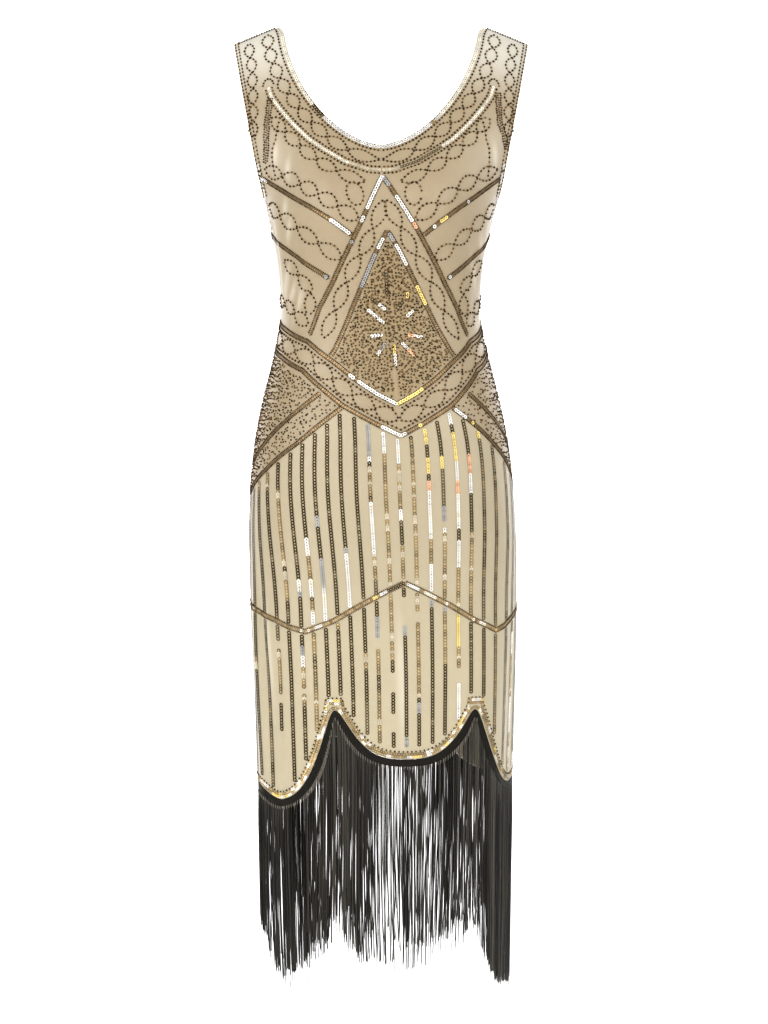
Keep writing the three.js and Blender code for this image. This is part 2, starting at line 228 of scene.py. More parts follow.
def turn_between(a, b):
    """The shorter way round from one turn to another, in degrees."""
    return np.mod(a - b + 180, 360) - 180


def fold_bell(k, turn, level):
    """One fold as a bell across and along it, between 0 and 1."""
    down = (FOLDS["level"][k] - level) / (FOLDS["length"][k] / 2)
    middle = FOLDS["turn"][k] + FOLDS["lean"][k] * down / 2
    away = turn_between(turn, middle) / FOLDS["width"][k]
    return np.exp(-(away**2) - down**2)


def fold_height(turn, level):
    """The cloth's lift: a bell across and along each fold, and cosine waves that grow down the skirt."""
    growth = smooth((WAVES["from"] - level) / (WAVES["from"] - WAVES["to"]))
    lift = WAVES["height"] * growth * np.cos(WAVES["count"] * np.radians(turn) + WAVES["phase"])
    for k, height in enumerate(FOLDS["height"]):
        lift = lift + height * fold_bell(k, turn, level)
    return lift


def ridge_highlight_share(turn, level):
    """How near each place is to the crest of a narrow fold that stands out, from 0 to 1: where a highlight
    is painted.
    """
    narrow = np.flatnonzero((FOLDS["width"] < RIDGE_WIDTH) & (FOLDS["height"] > 0))
    return np.clip(sum(fold_bell(k, turn, level) for k in narrow), 0, 1)


def shoulder_lift(x, level):
    """How far the sloping shoulders raise the cloth at a place beside the middle."""
    share = np.clip(1 + level / SLOPE_REACH, 0, 1)
    return SHOULDER_SLOPE * (SHOULDER_MIDDLE_X - np.abs(x)) * share**2


def across_section(angle, level):
    """Sideways place on a section: half width times the sine, a little squared at the corners."""
    return along("width", level) * np.sin(angle) * (1 + SQUARENESS * np.sin(2 * angle) ** 2)


def cloth_point(turn, level):
    """The middle of the cloth: a squared ellipse at each level, lifted by folds and shoulders."""
    angle = np.radians(turn + along("twist", level))
    corner = 1 + SQUARENESS * np.sin(2 * angle) ** 2
    depth = np.where(np.cos(angle) >= 0, along("front", level), along("back", level))
    fold = fold_height(turn, level)
    x = across_section(angle, level)
    bust_away = ((np.abs(x) - BUST["spacing"]) ** 2 + (level - BUST["level"]) ** 2) / BUST["spread"] ** 2
    bust = BUST["fullness"] * np.clip(np.cos(angle), 0, 1) * np.exp(-bust_away)
    return np.stack(
        [
            x + fold * np.sin(angle) + along("sway", level),
            -(depth * corner + fold) * np.cos(angle) - bust,
            level + shoulder_lift(x, level),
        ],
        axis=-1,
    )


def unit(vectors):
    """Vectors at length one."""
    return vectors / np.maximum(np.linalg.norm(vectors, axis=-1, keepdims=True), 1e-9)


def cloth_normal(turn, level):
    """The outward direction of the cloth, from its slopes round the body and up it."""
    reach = 0.5
    around = cloth_point(turn + reach, level) - cloth_point(turn - reach, level)
    up = cloth_point(turn, level + reach) - cloth_point(turn, level - reach)
    return unit(np.cross(around, up))


# The panels' edges


SETTLING_STEPS = 12
HALVINGS = 30


def place_on_panel(x, z):
    """The turn away from a panel's middle and the level that show at x and z, by halving the range."""
    level = z
    for _ in range(SETTLING_STEPS):
        level = np.minimum(0, z - shoulder_lift(x, level))
    low = np.zeros_like(x)
    high = np.full_like(x, HALF_PANEL)
    for _ in range(HALVINGS):
        middle = (low + high) / 2
        short = across_section(np.radians(middle), level) < x
        low = np.where(short, middle, low)
        high = np.where(short, high, middle)
    return low, level


def neck_line(panel, share, out):
    """A line round the neck at a distance out from its edge, from the centre at share 0 to the shoulder
    at 1: a superellipse quarter, its half axes widened by the distance. Near the edge its top flares."""
    share = np.asarray(share, float)
    quarter = np.radians(90 * share)
    power = 2 / panel["neck_power"]
    flare = NECK_FLARE * smooth((share - FLARE_FROM) / (1 - FLARE_FROM)) * max(0, 1 - out / FLARE_REACH)
    x = (STRAP_INNER_X - NECK_FLARE + NECK_WIDENING * out) * np.sin(quarter) ** power + flare
    z = STRAP_TOP - (panel["neck_depth"] + out) * np.cos(quarter) ** power
    return place_on_panel(x, z - SHOULDER_SLOPE * NECK_WIDENING * out * np.sin(quarter) ** 8)


def armhole_line(panel, share, inset):
    """A line beside the armhole, from the underarm at share 0 to the shoulder at 1: a bowed rise."""
    rise = (1 - np.cos(np.pi * np.asarray(share, float))) / 2
    z = UNDERARM + (STRAP_END - UNDERARM) * rise + SHOULDER_SLOPE * inset * rise**6
    low_x = along("width", UNDERARM)
    bow = panel["armhole_x"] - (STRAP_OUTER_X + low_x) / 2
    x = low_x + (STRAP_OUTER_X - low_x) * rise + bow * 4 * rise * (1 - rise) - inset
    return place_on_panel(x, z)


def strap_inner(panel, step):
    """The inner edge of a strap: up the centre line, then round the neck."""
    level_at_neck = place_on_panel(np.zeros(1), np.array([STRAP_TOP - panel["neck_depth"]]))[1][0]
    centre = UNDERARM + (level_at_neck - UNDERARM) * step / NECK_SHARE
    away, level = neck_line(panel, np.clip((step - NECK_SHARE) / (1 - NECK_SHARE), 0, 1), 0)
    on_centre = step <= NECK_SHARE
    return np.where(on_centre, 0, away), np.where(on_centre, centre, level)


def strap_outer(panel, step):
    """The armhole edge of a strap, which starts at the side seam."""
    away, level = armhole_line(panel, step, 0)
    return np.where(step > 0, away, HALF_PANEL), np.where(step > 0, level, UNDERARM)


def hem_level(turn):
    """The hem at each turn: in its scallop it falls from a rounded peak to the bottom by a power of the
    share, and near a side seam it rises."""
    away = np.abs(turn_between(np.asarray(turn, float)[..., None], SCALLOPS["middle"]))
    shares = away / SCALLOPS["half_span"]
    k = np.argmin(shares, axis=-1)
    half_span = SCALLOPS["half_span"][k]
    from_peak = half_span * np.maximum(0, 1 - np.min(shares, axis=-1))
    share = 1 - (np.hypot(from_peak, PEAK_ROUND) - PEAK_ROUND) / half_span
    from_seam = np.abs(np.abs(turn_between(turn, 0)) - HALF_PANEL)
    rise = SEAM_RISE["height"] * (1 - np.minimum(1, from_seam / SEAM_RISE["half"]) ** 2) ** 2
    return HEM_PEAK + (SCALLOPS["bottom"][k] - HEM_PEAK) * (1 - share ** SCALLOPS["power"][k]) + rise


def hem_peaks(panel):
    """How far from a panel's middle the two peaks of its hem lie."""
    own = np.abs(turn_between(SCALLOPS["middle"], panel["middle"])) < HALF_PANEL / 2
    middle = turn_between(SCALLOPS["middle"][own][0], panel["middle"])
    reach = SCALLOPS["half_span"][own][0]
    return middle - reach, middle + reach


def panel_turns(panel, inset, count):
    """Even turns across a panel, from a little inside one side seam to a little inside the other."""
    return panel["middle"] + np.linspace(-HALF_PANEL + inset, HALF_PANEL - inset, count)


def below_hem(turn, distance):
    """A line a set distance below the hem, measured square to it; above it for a negative distance."""
    reach = 1.0
    run = cloth_point(turn + reach, HEM_PEAK + 0 * turn) - cloth_point(turn - reach, HEM_PEAK + 0 * turn)
    steepness = (hem_level(turn + reach) - hem_level(turn - reach)) / np.linalg.norm(run, axis=-1)
    return hem_level(turn) - distance * np.hypot(1, steepness)


# Meshes


def put_down(name, points, faces, material, smooth_faces=True):
    """A mesh object at the origin from points in millimetres and arrays of triangles or quads."""
    mesh = bpy.data.meshes.new(name)
    mesh.from_pydata((points * MM).tolist(), [], [face for block in faces for face in block.tolist()])
    mesh.polygons.foreach_set("use_smooth", np.full(len(mesh.polygons), smooth_faces))
    mesh.materials.append(material)
    mesh.update()
    piece = bpy.data.objects.new(name, mesh)
    bpy.context.collection.objects.link(piece)
    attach(piece, "root")
    return piece


def give_attribute(piece, name, kind, values):
    """One value for each point of a piece, as its own attribute."""
    attribute = piece.data.attributes.new(name, kind, "POINT")
    field = "color" if kind == "FLOAT_COLOR" else "value"
    attribute.data.foreach_set(field, np.asarray(values, np.float32).ravel())


def give_map(piece, u, v):
    """A UV map from two values for each point, in metres of cloth."""
    layer = piece.data.uv_layers.new(name="cloth")
    corners = np.empty(len(piece.data.loops), int)
    piece.data.loops.foreach_get("vertex_index", corners)
    layer.data.foreach_set("uv", (np.stack([u[corners], v[corners]], axis=-1) * MM).ravel())


def grid_faces(rows, columns, first=0):
    """Quads between neighbouring rows of a grid, row by row from a first point."""
    k = first + (np.arange(rows - 1)[:, None] * columns + np.arange(columns - 1)).ravel()
    return np.stack([k, k + 1, k + 1 + columns, k + columns], axis=-1)


def scatter(name, shape, places, tones, material):
    """One mesh of a small shape set down at every place: each point is the place plus the template's
    three coordinates along the place's own tangent, crosswise and outward directions. Each point of the
    template says which of the place's tones it takes."""
    template, faces, tone_of = shape
    points, normals, tangents, sizes = places
    axes = np.stack([tangents, np.cross(normals, tangents), normals], axis=1)
    spread = points[:, None, :] + np.einsum("vk,nkj->nvj", template, axes) * sizes[:, None, None]
    first = np.arange(len(points))[:, None, None] * len(template)
    blocks = [(first + block).reshape(-1, block.shape[1]) for block in faces]
    piece = put_down(name, spread.reshape(-1, 3), blocks, material, smooth_faces=False)
    colours = tones[:, tone_of]
    opaque = np.concatenate([colours, np.ones(colours.shape[:2] + (1,))], axis=-1)
    give_attribute(piece, "tone", "FLOAT_COLOR", opaque)
    return piece


def tubes(name, paths, frames, radii, sides, material):
    """Thin prisms along many paths of one length: at each point a ring in the plane of two directions."""
    count, steps = paths.shape[:2]
    angles = np.arange(sides) * 2 * np.pi / sides
    across, deep = (direction[..., None, :] for direction in frames)
    ring = np.cos(angles)[:, None] * across + np.sin(angles)[:, None] * deep
    points = paths[:, :, None, :] + ring * radii[..., None, None]
    k = np.arange(count)[:, None, None] * steps * sides + np.arange(steps - 1)[:, None] * sides
    here = k + np.arange(sides)
    after = k + (np.arange(sides) + 1) % sides
    quads = np.stack([here, after, after + sides, here + sides], axis=-1).reshape(-1, 4)
    return put_down(name, points.reshape(-1, 3), [quads], material)


# Lines on the cloth, each as points and outward directions. The back's neck is lower, so there the chart
# is drawn down, from the waist up and most at the middle.
CHART_DROP = {"from": -494, "rise": 295, "reach": 75}
CHART_STEPS = 60
SEWN_LIFT = 0.3
RAISED_LIFT = 1.1


def on_panel(panel, side, away, level):
    """Turn and level on one half of a panel for a place on the chart."""
    drop = panel["neck_depth"] - PANELS[0]["neck_depth"]
    share = np.clip((level - CHART_DROP["from"]) / CHART_DROP["rise"], 0, 1)
    share = share * np.clip(1 - np.abs(away) / CHART_DROP["reach"], 0, 1)
    return panel["middle"] + side * away, level - drop * share


def cloth_line(turn, level, lift=SEWN_LIFT):
    """Points a little above the cloth along a line of turns and levels, with their outward directions."""
    normals = cloth_normal(turn, level)
    return cloth_point(turn, level) + normals * (CLOTH_THICKNESS / 2 + lift), normals


def charted(panel, side, corners, lift=SEWN_LIFT):
    """A line on a panel through corners of the chart, in steps of equal share."""
    corners = np.array(corners, float)
    run = np.arange(len(corners))
    fine = np.linspace(0, run[-1], CHART_STEPS * run[-1] + 1)
    away = np.interp(fine, run, corners[:, 0])
    level = np.interp(fine, run, corners[:, 1])
    return cloth_line(*on_panel(panel, side, away, level), lift)


def beside(line, distance):
    """The line moved sideways along the cloth, by one distance or one for each point."""
    points, normals = line
    crosswise = unit(np.cross(normals, np.gradient(points, axis=0)))
    return points + crosswise * np.reshape(distance, (-1, 1)), normals


def run_of(points):
    """The length run along points, from the first."""
    return np.concatenate([[0], np.cumsum(np.linalg.norm(np.diff(points, axis=0), axis=-1))])


def at_marks(marks, run, vectors):
    """Vectors along a line, read off at marks of the length run."""
    return np.stack([np.interp(marks, run, column) for column in vectors.T], axis=-1)


def square_to(outward, direction):
    """A direction with its part along the outward one taken off, at length one."""
    return unit(direction - outward * np.sum(direction * outward, axis=-1, keepdims=True))


def spaced(line, pitch, keep=(0, 1)):
    """Places at an even pitch on a share of the line: points, outward and forward directions, shares."""
    points, normals = line
    reach = 0.5
    run = run_of(points)
    marks = np.arange(keep[0] * run[-1] + pitch / 2, keep[1] * run[-1], pitch)
    outward = unit(at_marks(marks, run, normals))
    forward = at_marks(marks + reach, run, points) - at_marks(marks - reach, run, points)
    return at_marks(marks, run, points), outward, square_to(outward, forward), marks / run[-1]


# Beadwork. Tones of the sequins as seen on a screen: the edge, the body and the eye.
# The darker edge of each sequin is painted shade where the sequins overlap.
# White, pearl, silver, gold and copper are painted glints over the sequins' own pale or metal colour.
SEQUIN_TONES = {
    "bronze": ((62, 46, 27), (122, 99, 68), (152, 129, 93)),
    "brown": ((32, 25, 13), (62, 50, 29), (182, 164, 126)),
    "olive": ((66, 57, 39), (100, 88, 64), (186, 170, 138)),
    "umber": ((84, 67, 40), (128, 107, 72), (194, 176, 138)),
    "tan": ((104, 84, 52), (158, 135, 94), (208, 189, 150)),
    "gold": ((140, 108, 46), (240, 214, 128), (118, 88, 42)),
    "copper": ((180, 124, 90), (228, 174, 136), (168, 112, 80)),
    "silver": ((98, 94, 88), (168, 167, 165), (86, 81, 74)),
    "white": ((140, 126, 102), (238, 236, 230), (66, 54, 38)),
    "pearl": ((176, 162, 134), (244, 238, 222), (122, 106, 78)),
    "faded": ((166, 153, 126), (204, 191, 165), (178, 163, 134)),
}
BEAD_TONES = {"dark": (44, 30, 9), "amber": (98, 72, 40)}
SEQUIN_SIDES = 7
CHART_SCALE = 2.4
BEAD_RADIUS = 1.55
BEAD_PITCH = 6
BEAD_LIFT = 0.35
# Chance from one sequin or bead to the next: spread of the lean, least and most share of tone and of size.
LEAN_SPREAD = 0.03
TONE_SHARES = (0.8, 1.15)
BEAD_SHARES = (0.88, 1.1)
LOOP_POWER = 0.85
STRAP_PITCH = 5.2
THREAD_SIDES = 3
THREAD_RADIUS = 0.42
LINE_SEQUIN = 4.4
LINE_PITCH = 3.5
GLINT_SEQUIN = 5.8
GLINT_PITCH = 4
STRIPE_SEQUIN = 5.6
STRIPE_STEP = 3.9
FLANK = 2.6
FLANK_PITCH = 2.7
FLANK_SIZE = 0.7
FLANK_AMBER = 0.3
ZIGZAG = {"size": 4.6, "pitch": 3.6, "flank": 3, "amber": 0.7, "step": 0.014}
# Gold and pearl in the zigzag's mix are painted glints.
ZIGZAG_TONES = {"tan": 0.78, "gold": 0.06, "bronze": 0.12, "pearl": 0.04}

# Sequin lines of one half of a panel, from their inner ends, as places away from the middle and levels.
LINES = {
    "peak": [(0, -198), (12, -253), (17.5, -276.5), (23.8, -302), (31.9, -337), (40, -367), (46, -403)],
    "upper_chevron": [(18.5, -274), (27, -256.5), (36.3, -239), (47, -221), (55, -206), (61, -195)],
    "lower_chevron": [(33, -329), (42, -315), (51, -301), (64, -283), (82, -266)],
    "diamond": [(0, -268.5), (6, -293), (12.6, -326), (21.5, -370), (31, -424), (33, -431)],
    "waist_upper": [(0, -494), (9.5, -480), (20, -461), (30, -440.5), (47, -411), (69, -394), (89, -382)],
    "waist_lower": [(0, -535), (11, -519), (25.4, -496), (35, -475), (48, -449), (68, -431), (89, -419)],
    "hip_inner": [(36.5, -479), (45, -497), (56.5, -520), (70, -546), (89, -574)],
    "hip_outer": [(26, -498), (36, -520), (47, -545), (66, -580), (89, -613)],
    "zigzag": [
        *[(0, -727), (8, -739), (19, -757), (30, -777), (42.5, -792)],
        *[(50, -787), (58, -779), (70, -770), (89, -757)],
    ],
}
# The zigzag and the stripes lie a little to the side of the panel's middle.
SKIRT_SHIFT = -1.3
# Where a line catches the light on the front, on the left half and on the right: percent of its length
# from and to, and the tone.
GLINTS = {
    "peak": ("0 20 white, 25 29 white, 40 42 silver", "0 7 silver, 13 29 white, 30 34 copper"),
    "upper_chevron": ("2 21 white, 93 100 white", "11 15 white, 19 28 gold, 52 55 white"),
    "lower_chevron": ("2 5 silver, 68 100 white", "2 6 white, 94 100 white"),
    "diamond": ("6 14 white, 19 46 silver", "2 8 silver, 11 28 white, 44 58 gold"),
    "waist_upper": ("0 26 white, 28 31 white", "0 19 gold"),
    "waist_lower": ("0 11 white", "0 4 white, 12 14 gold"),
    "hip_outer": ("", "2 12 white, 17 20 gold"),
    "zigzag": ("0 10 brown, 10 13 white, 46 50 white", "2 9 white, 12 19 pearl, 46 50 pearl"),
}
# Chains of almond loops: the length and half width of a loop, and the corners that the chain follows.
CHAINS = [
    (33, 9.2, [(14, -255), (20, -244), (31, -222), (42, -200), (54, -184)]),
    (34, 10, [(25, -305), (32, -292), (42, -274), (51, -257), (62, -240), (70, -230)]),
    (30, 8.5, [(64, -303), (54, -320), (45, -342), (46, -366), (48, -378)]),
    (30, 8.5, [(47, -390), (56, -376), (66, -362), (86, -352)]),
    (40, 8.5, [(0, -228), (3.8, -248), (11.5, -286), (20.3, -319), (28.5, -359), (38, -408)]),
    (34, 9.5, [(0, -514.5), (11, -499), (20, -484), (30, -462), (47, -431), (68, -413), (89, -401)]),
]
# Rows of beads inside the waistband, and how far they lie from its lines.
WAIST_ROWS = [("waist_upper", 7), ("waist_lower", -7)]
# The pale band inside the neck's chain, from the middle to its end on the strap, and an arch of beads
# over that end.
INNER_BAND = [
    *[(0, -190), (5.5, -189), (14.6, -178.5), (22, -162), (27, -148)],
    *[(32.2, -127), (37, -107), (40.6, -90), (42, -76)],
]
BAND_FLANK = 4.6
BAND_ARCH = {"away": 42, "level": -77, "half_across": 6, "half_up": 11}
ARMHOLE_CHAIN = [(55, -10), (50.5, -49), (49.6, -79), (49.9, -111), (51.5, -142)]
BROWN_BAND = {
    -1: [(41, -90), (42.5, -115), (44.2, -136), (47, -157), (51.5, -178)],
    1: [(43.8, -82), (44.7, -105), (45.7, -125), (50.6, -145), (54.6, -160)],
}
SIDE_ROW = [(72, -219), (77, -232), (77, -250), (73, -266)]
ARMHOLE_CURVE = [(37.5, -121), (41, -147), (44.2, -160), (47, -179), (50.5, -198)]
APEX_LOOP = {"away": 13.8, "level": -221, "half_across": 9.5, "half_up": 15}
# Rows beside the neck and the armhole: how far in they lie, and their first and last share of the way.
NECK_ROWS = {
    "sequins": (3.2, 0, 0.985),
    "edge_beads": (0.7, 0, 0.6),
    "beads": (7.6, 0, 0.985),
    "chain": (20, 0, 0.97),
    "low_chain": (53, 0.1, 0.58),
}
ARMHOLE_ROWS = {"outer": (2, 0.02, 0.97), "inner": (6, 0.02, 0.97), "sequins": (4, 0.03, 0.3)}
EDGE_STEPS = 160
# Stretches of other tones on the left half and on the right: in the neck's sequins and in the pale band.
# The pearl and white sequins of the neck and the pale band are pale sequins with painted glints.
NECK_TONES = {
    -1: [(0, 0.36, "white"), (0.36, 0.46, "brown")],
    1: [(0, 0.36, "white"), (0.3, 0.34, "tan")],
}
BAND_TONES = {-1: [(0, 0.22, "faded")], 1: [(0, 0.12, "faded"), (0.12, 0.42, "olive")]}
ARMHOLE_TONES = [(start, start + 0.06, "brown") for start in (0.12, 0.3, 0.44, 0.66, 0.82)]
# Rows of the brown band: how far they lie from its line, and the share of amber beads.
BROWN_ROWS = [(-3.2, 0.2), (0, 1), (3.2, 0.2)]
BROWN_WANDER = 0.8
SHOULDER_ROW = {"inset": 4, "below": 2.5, "pitch": 3.6, "steps": 60}
# A star of short sequin rays in the diamond: outer and inner ends to the right of and above its middle,
# with the tones of the outer and the inner half.
STAR = {"away": 0, "level": -398}
RAY_SEQUIN = 5
# White, silver, gold and copper halves of the rays are painted glints.
RAYS = [
    ((-30, 28), (-9, 10), "white", "white"),
    ((-26, 44), (-6, 28), "brown", "white"),
    ((19, 40), (7, 26), "brown", "olive"),
    ((32, 28), (22, 19), "white", "white"),
    ((39, -8), (21, -5), "white", "copper"),
    ((27, -33), (12, -15), "copper", "white"),
    ((2, -45), (2, -18), "white", "gold"),
    ((-22, -34), (-9, -16), "white", "silver"),
    ((-29, -7), (-12, -5), "white", "white"),
    ((-3.5, 79), (-3.5, 48), "olive", "brown"),
    ((24, 49), (24, 43), "gold", "gold"),
]


def chance_tones(step, chances):
    """Short stretches of tone by chance all along a line, each of one step of its share."""
    starts = np.arange(0, 1, step)
    tones = rng.choice(list(chances), len(starts), p=list(chances.values()))
    return [(start, start + step, tone) for start, tone in zip(starts, tones)]


def glint_stretches(name, side):
    """Stretches where a line catches the light: share from and to, and the tone."""
    words = GLINTS.get(name, ("", ""))[0 if side < 0 else 1]
    runs = [run.split() for run in words.split(", ") if run]
    return [(float(start) / 100, float(end) / 100, tone) for start, end, tone in runs]


def stretch_tones(shares, plain, stretches):
    """Edge, body and eye tones of each sequin on a line: plain, or those of the stretch it lies in."""
    seen = np.tile(np.array(SEQUIN_TONES[plain]), (len(shares), 1, 1))
    for start, end, tone in stretches:
        seen[(shares >= start) & (shares <= end)] = SEQUIN_TONES[tone]
    return linear(seen)


class Beadwork:
    """Sequins, beads and threads of one panel, gathered line by line and put down as joined meshes."""

    def __init__(self, panel):
        self.panel = panel
        self.sequins = []
        self.beads = []
        self.threads = []

    def course(self, side, corners):
        """A line through corners of the chart, with its points a short, even pitch apart."""
        return resampled(charted(self.panel, side, corners))

    def sew_sequins(self, line, size, pitch, plain, stretches=(), keep=(0, 1), tilt=0.12):
        """A row of sequins along a line, each leaning a little on the next."""
        at, outward, forward, shares = spaced(line, pitch, keep)
        lean = tilt + rng.normal(0, LEAN_SPREAD, len(at))[:, None]
        leaning = unit(outward + forward * lean)
        tones = stretch_tones(shares, plain, stretches) * rng.uniform(*TONE_SHARES, (len(at), 1, 1))
        self.sequins.append((at, leaning, square_to(leaning, forward), np.full(len(at), size / 2), tones))

    def string_beads(self, line, pitch=BEAD_PITCH, threaded=True, size=1, amber=0.15):
        """Beads at a pitch along a line, with the tan thread that carries them."""
        at, outward, forward, _ = spaced(line, pitch)
        self.set_beads(at, outward, forward, size, amber)
        if threaded and len(at) > 1:
            self.threads.append((at, outward))

    def set_beads(self, at, outward, forward, size, amber):
        """Beads at places of their own, a share of them amber."""
        lighter = rng.random((len(at), 1)) < amber
        tones = linear(np.where(lighter, BEAD_TONES["amber"], BEAD_TONES["dark"]))[:, None]
        radii = BEAD_RADIUS * size * rng.uniform(*BEAD_SHARES, len(at))
        self.beads.append((at + outward * BEAD_LIFT, outward, forward, radii, tones))

    def chain(self, line, loop, half, pitch=BEAD_PITCH, growth=1):
        """Almond loops between two strands that swing to opposite sides of a line and cross: a sine made
        rounder, whose loops get shorter along the line where the growth is above one."""
        run = run_of(line[0])
        loops = max(1, round(run[-1] / loop))
        wave = np.sin(np.pi * loops * (run / run[-1]) ** growth)
        swing = half * np.sign(wave) * np.abs(wave) ** LOOP_POWER
        for side in (1, -1):
            self.string_beads(beside(line, side * swing), pitch)

    def gathered(self, kind):
        """All places of one kind as arrays, and their tones."""
        points, normals, tangents, sizes, tones = (np.concatenate(column) for column in zip(*kind))
        return (points, normals, tangents, sizes), tones


def resampled(line, pitch=1.5):
    """The same line with its points an even, short pitch apart."""
    at, outward, _, _ = spaced(line, pitch)
    return at, outward


def line_level(name, away):
    """The level of a charted line at places away from the middle."""
    aways, levels = zip(*LINES[name])
    return np.interp(away, aways, levels)


def line_away(name, level):
    """How far from the middle a charted line lies at each level."""
    aways, levels = zip(*LINES[name])
    return np.interp(-level, -np.array(levels), aways)


def skirt_top(away):
    """The line under which the stripes start: the waistband's lower row, or the hip line if lower."""
    hip = np.where(away > LINES["hip_outer"][0][0], line_level("hip_outer", away), 0)
    return np.minimum(line_level("waist_lower", away), hip)


# Filled regions keep clear of the lines round them. The diamond is filled from below its tip, and a
# narrow line at its foot stays bare.
FILL_CLEAR = 6
DIAMOND_CLEAR = 2.4
DIAMOND_TOP = -283
BARE_LINE = {"half": 0.9, "from": -446}
HIP_FROM = 38
STRIP_CLEAR = 8


def in_diamond(away, level):
    """Inside the diamond under the peak."""
    inside = away < line_away("diamond", level) - DIAMOND_CLEAR
    above = level > line_level("waist_upper", away) + FILL_CLEAR
    bare = (away < BARE_LINE["half"]) & (level < BARE_LINE["from"])
    return inside & above & (level < DIAMOND_TOP) & ~bare


def in_hip(away, level):
    """Inside the beaded triangle on the hip."""
    below = level < line_level("waist_lower", away) - FILL_CLEAR
    above = level > line_level("hip_inner", away) + FILL_CLEAR
    return below & above & (away > HIP_FROM)


def in_hip_strip(away, level):
    """Between the two lines of the hip."""
    below = level < line_level("hip_inner", away) - FILL_CLEAR
    above = level > line_level("hip_outer", away) + FILL_CLEAR
    return below & above & (level < line_level("waist_lower", away) - STRIP_CLEAR)


# Filled regions with the pitch of their beads on the left and on the right, and what the fills share.
FILLS = [(in_diamond, 3.8, 3.8), (in_hip, 4.7, 6), (in_hip_strip, 5, 6)]
FILL = {"aways": (0.5, 89), "levels": (-280, -640), "jitter": 0.45, "size": 0.84, "amber": 0.5}
RING_STEPS = 40


def fill_beads(work, side, region, pitch):
    """Beads scattered in a region of the chart: an even grid, jittered, then kept inside the region."""
    degrees = pitch / CHART_SCALE
    away, level = np.meshgrid(np.arange(*FILL["aways"], degrees), np.arange(*FILL["levels"], -pitch))
    away = away + rng.uniform(-FILL["jitter"], FILL["jitter"], away.shape) * degrees
    level = level + rng.uniform(-FILL["jitter"], FILL["jitter"], level.shape) * pitch
    keep = region(away, level)
    at, outward = cloth_line(*on_panel(work.panel, side, away[keep], level[keep]))
    across = unit(np.cross(outward, UP))
    work.set_beads(at, outward, across, FILL["size"], FILL["amber"])


def ring_line(panel, side, loop, halves=2):
    """A loop as an ellipse on the chart, or the arch that is its upper half."""
    angles = np.linspace(0, halves * np.pi, RING_STEPS)
    away = loop["away"] + loop["half_across"] * np.cos(angles) / CHART_SCALE
    level = loop["level"] + loop["half_up"] * np.sin(angles)
    return resampled(charted(panel, side, list(zip(away, level))))


def sew_line(work, side, name):
    """One sequin line, with raised sequins where it catches the light and small beads along its edges."""
    panel = work.panel
    corners = LINES[name]
    glints = glint_stretches(name, side) if panel["middle"] == 0 else []
    if name == "zigzag":
        line = charted(panel, side, [(away + SKIRT_SHIFT * side, level) for away, level in corners])
        tones = chance_tones(ZIGZAG["step"], ZIGZAG_TONES) + glints
        work.sew_sequins(line, ZIGZAG["size"], ZIGZAG["pitch"], "tan", tones)
        flank, amber = ZIGZAG["flank"], ZIGZAG["amber"]
    else:
        line = charted(panel, side, corners)
        work.sew_sequins(line, LINE_SEQUIN, LINE_PITCH, "bronze")
        raised = charted(panel, side, corners, RAISED_LIFT)
        for start, end, tone in glints:
            work.sew_sequins(raised, GLINT_SEQUIN, GLINT_PITCH, tone, keep=(start, end))
        flank, amber = FLANK, FLANK_AMBER
    for distance in (flank, -flank):
        edge = resampled(beside(line, distance))
        work.string_beads(edge, FLANK_PITCH, threaded=False, size=FLANK_SIZE, amber=amber)


def bead_bodice(work, side):
    """The lines, loops and beads of one half of the bodice, with the zigzag of the skirt."""
    for name in LINES:
        sew_line(work, side, name)
    for name, distance in WAIST_ROWS:
        work.string_beads(resampled(beside(charted(work.panel, side, LINES[name]), -side * distance)))
    for loop, half, corners in CHAINS:
        work.chain(work.course(side, corners), loop, half)
    work.string_beads(ring_line(work.panel, side, APEX_LOOP))
    for region, left_pitch, right_pitch in FILLS:
        fill_beads(work, side, region, left_pitch if side < 0 else right_pitch)


def bead_star(work):
    """The star's rays of sequins, each in two tones."""
    for outer, inner, outer_tone, inner_tone in RAYS:
        right, up = np.array([inner, outer], float).T
        corners = zip(STAR["away"] + right / CHART_SCALE, STAR["level"] + up)
        line = charted(work.panel, 1, list(corners), RAISED_LIFT)
        work.sew_sequins(line, RAY_SEQUIN, GLINT_PITCH, inner_tone, [(0.5, 1, outer_tone)])


def sewn(panel, side, place):
    """A line through places away from a panel's middle, with its points a short, even pitch apart."""
    away, level = place
    return resampled(cloth_line(panel["middle"] + side * away, level))


def edge_rows(panel, side, edge, rows):
    """Rows beside the edge of the neck or of an armhole, by name."""
    lines = {}
    for name, (distance, start, end) in rows.items():
        lines[name] = sewn(panel, side, edge(panel, np.linspace(start, end, EDGE_STEPS), distance))
    return lines


def bead_neck(work, side):
    """The bands of one half of the neck."""
    rows = edge_rows(work.panel, side, neck_line, NECK_ROWS)
    work.sew_sequins(rows["sequins"], size=5.4, pitch=3.8, plain="pearl", stretches=NECK_TONES[side])
    work.string_beads(rows["edge_beads"], pitch=5, size=0.7)
    work.string_beads(rows["beads"], STRAP_PITCH)
    work.chain(rows["chain"], loop=30, half=8.2, pitch=STRAP_PITCH, growth=1.25)
    band = work.course(side, INNER_BAND)
    work.sew_sequins(band, size=4.6, pitch=4, plain="pearl", stretches=BAND_TONES[side])
    for flank in (BAND_FLANK, -BAND_FLANK):
        work.string_beads(beside(band, flank), STRAP_PITCH)
    work.string_beads(ring_line(work.panel, side, BAND_ARCH, halves=1), pitch=4)
    work.chain(rows["low_chain"], loop=32, half=8.2, growth=1.15)


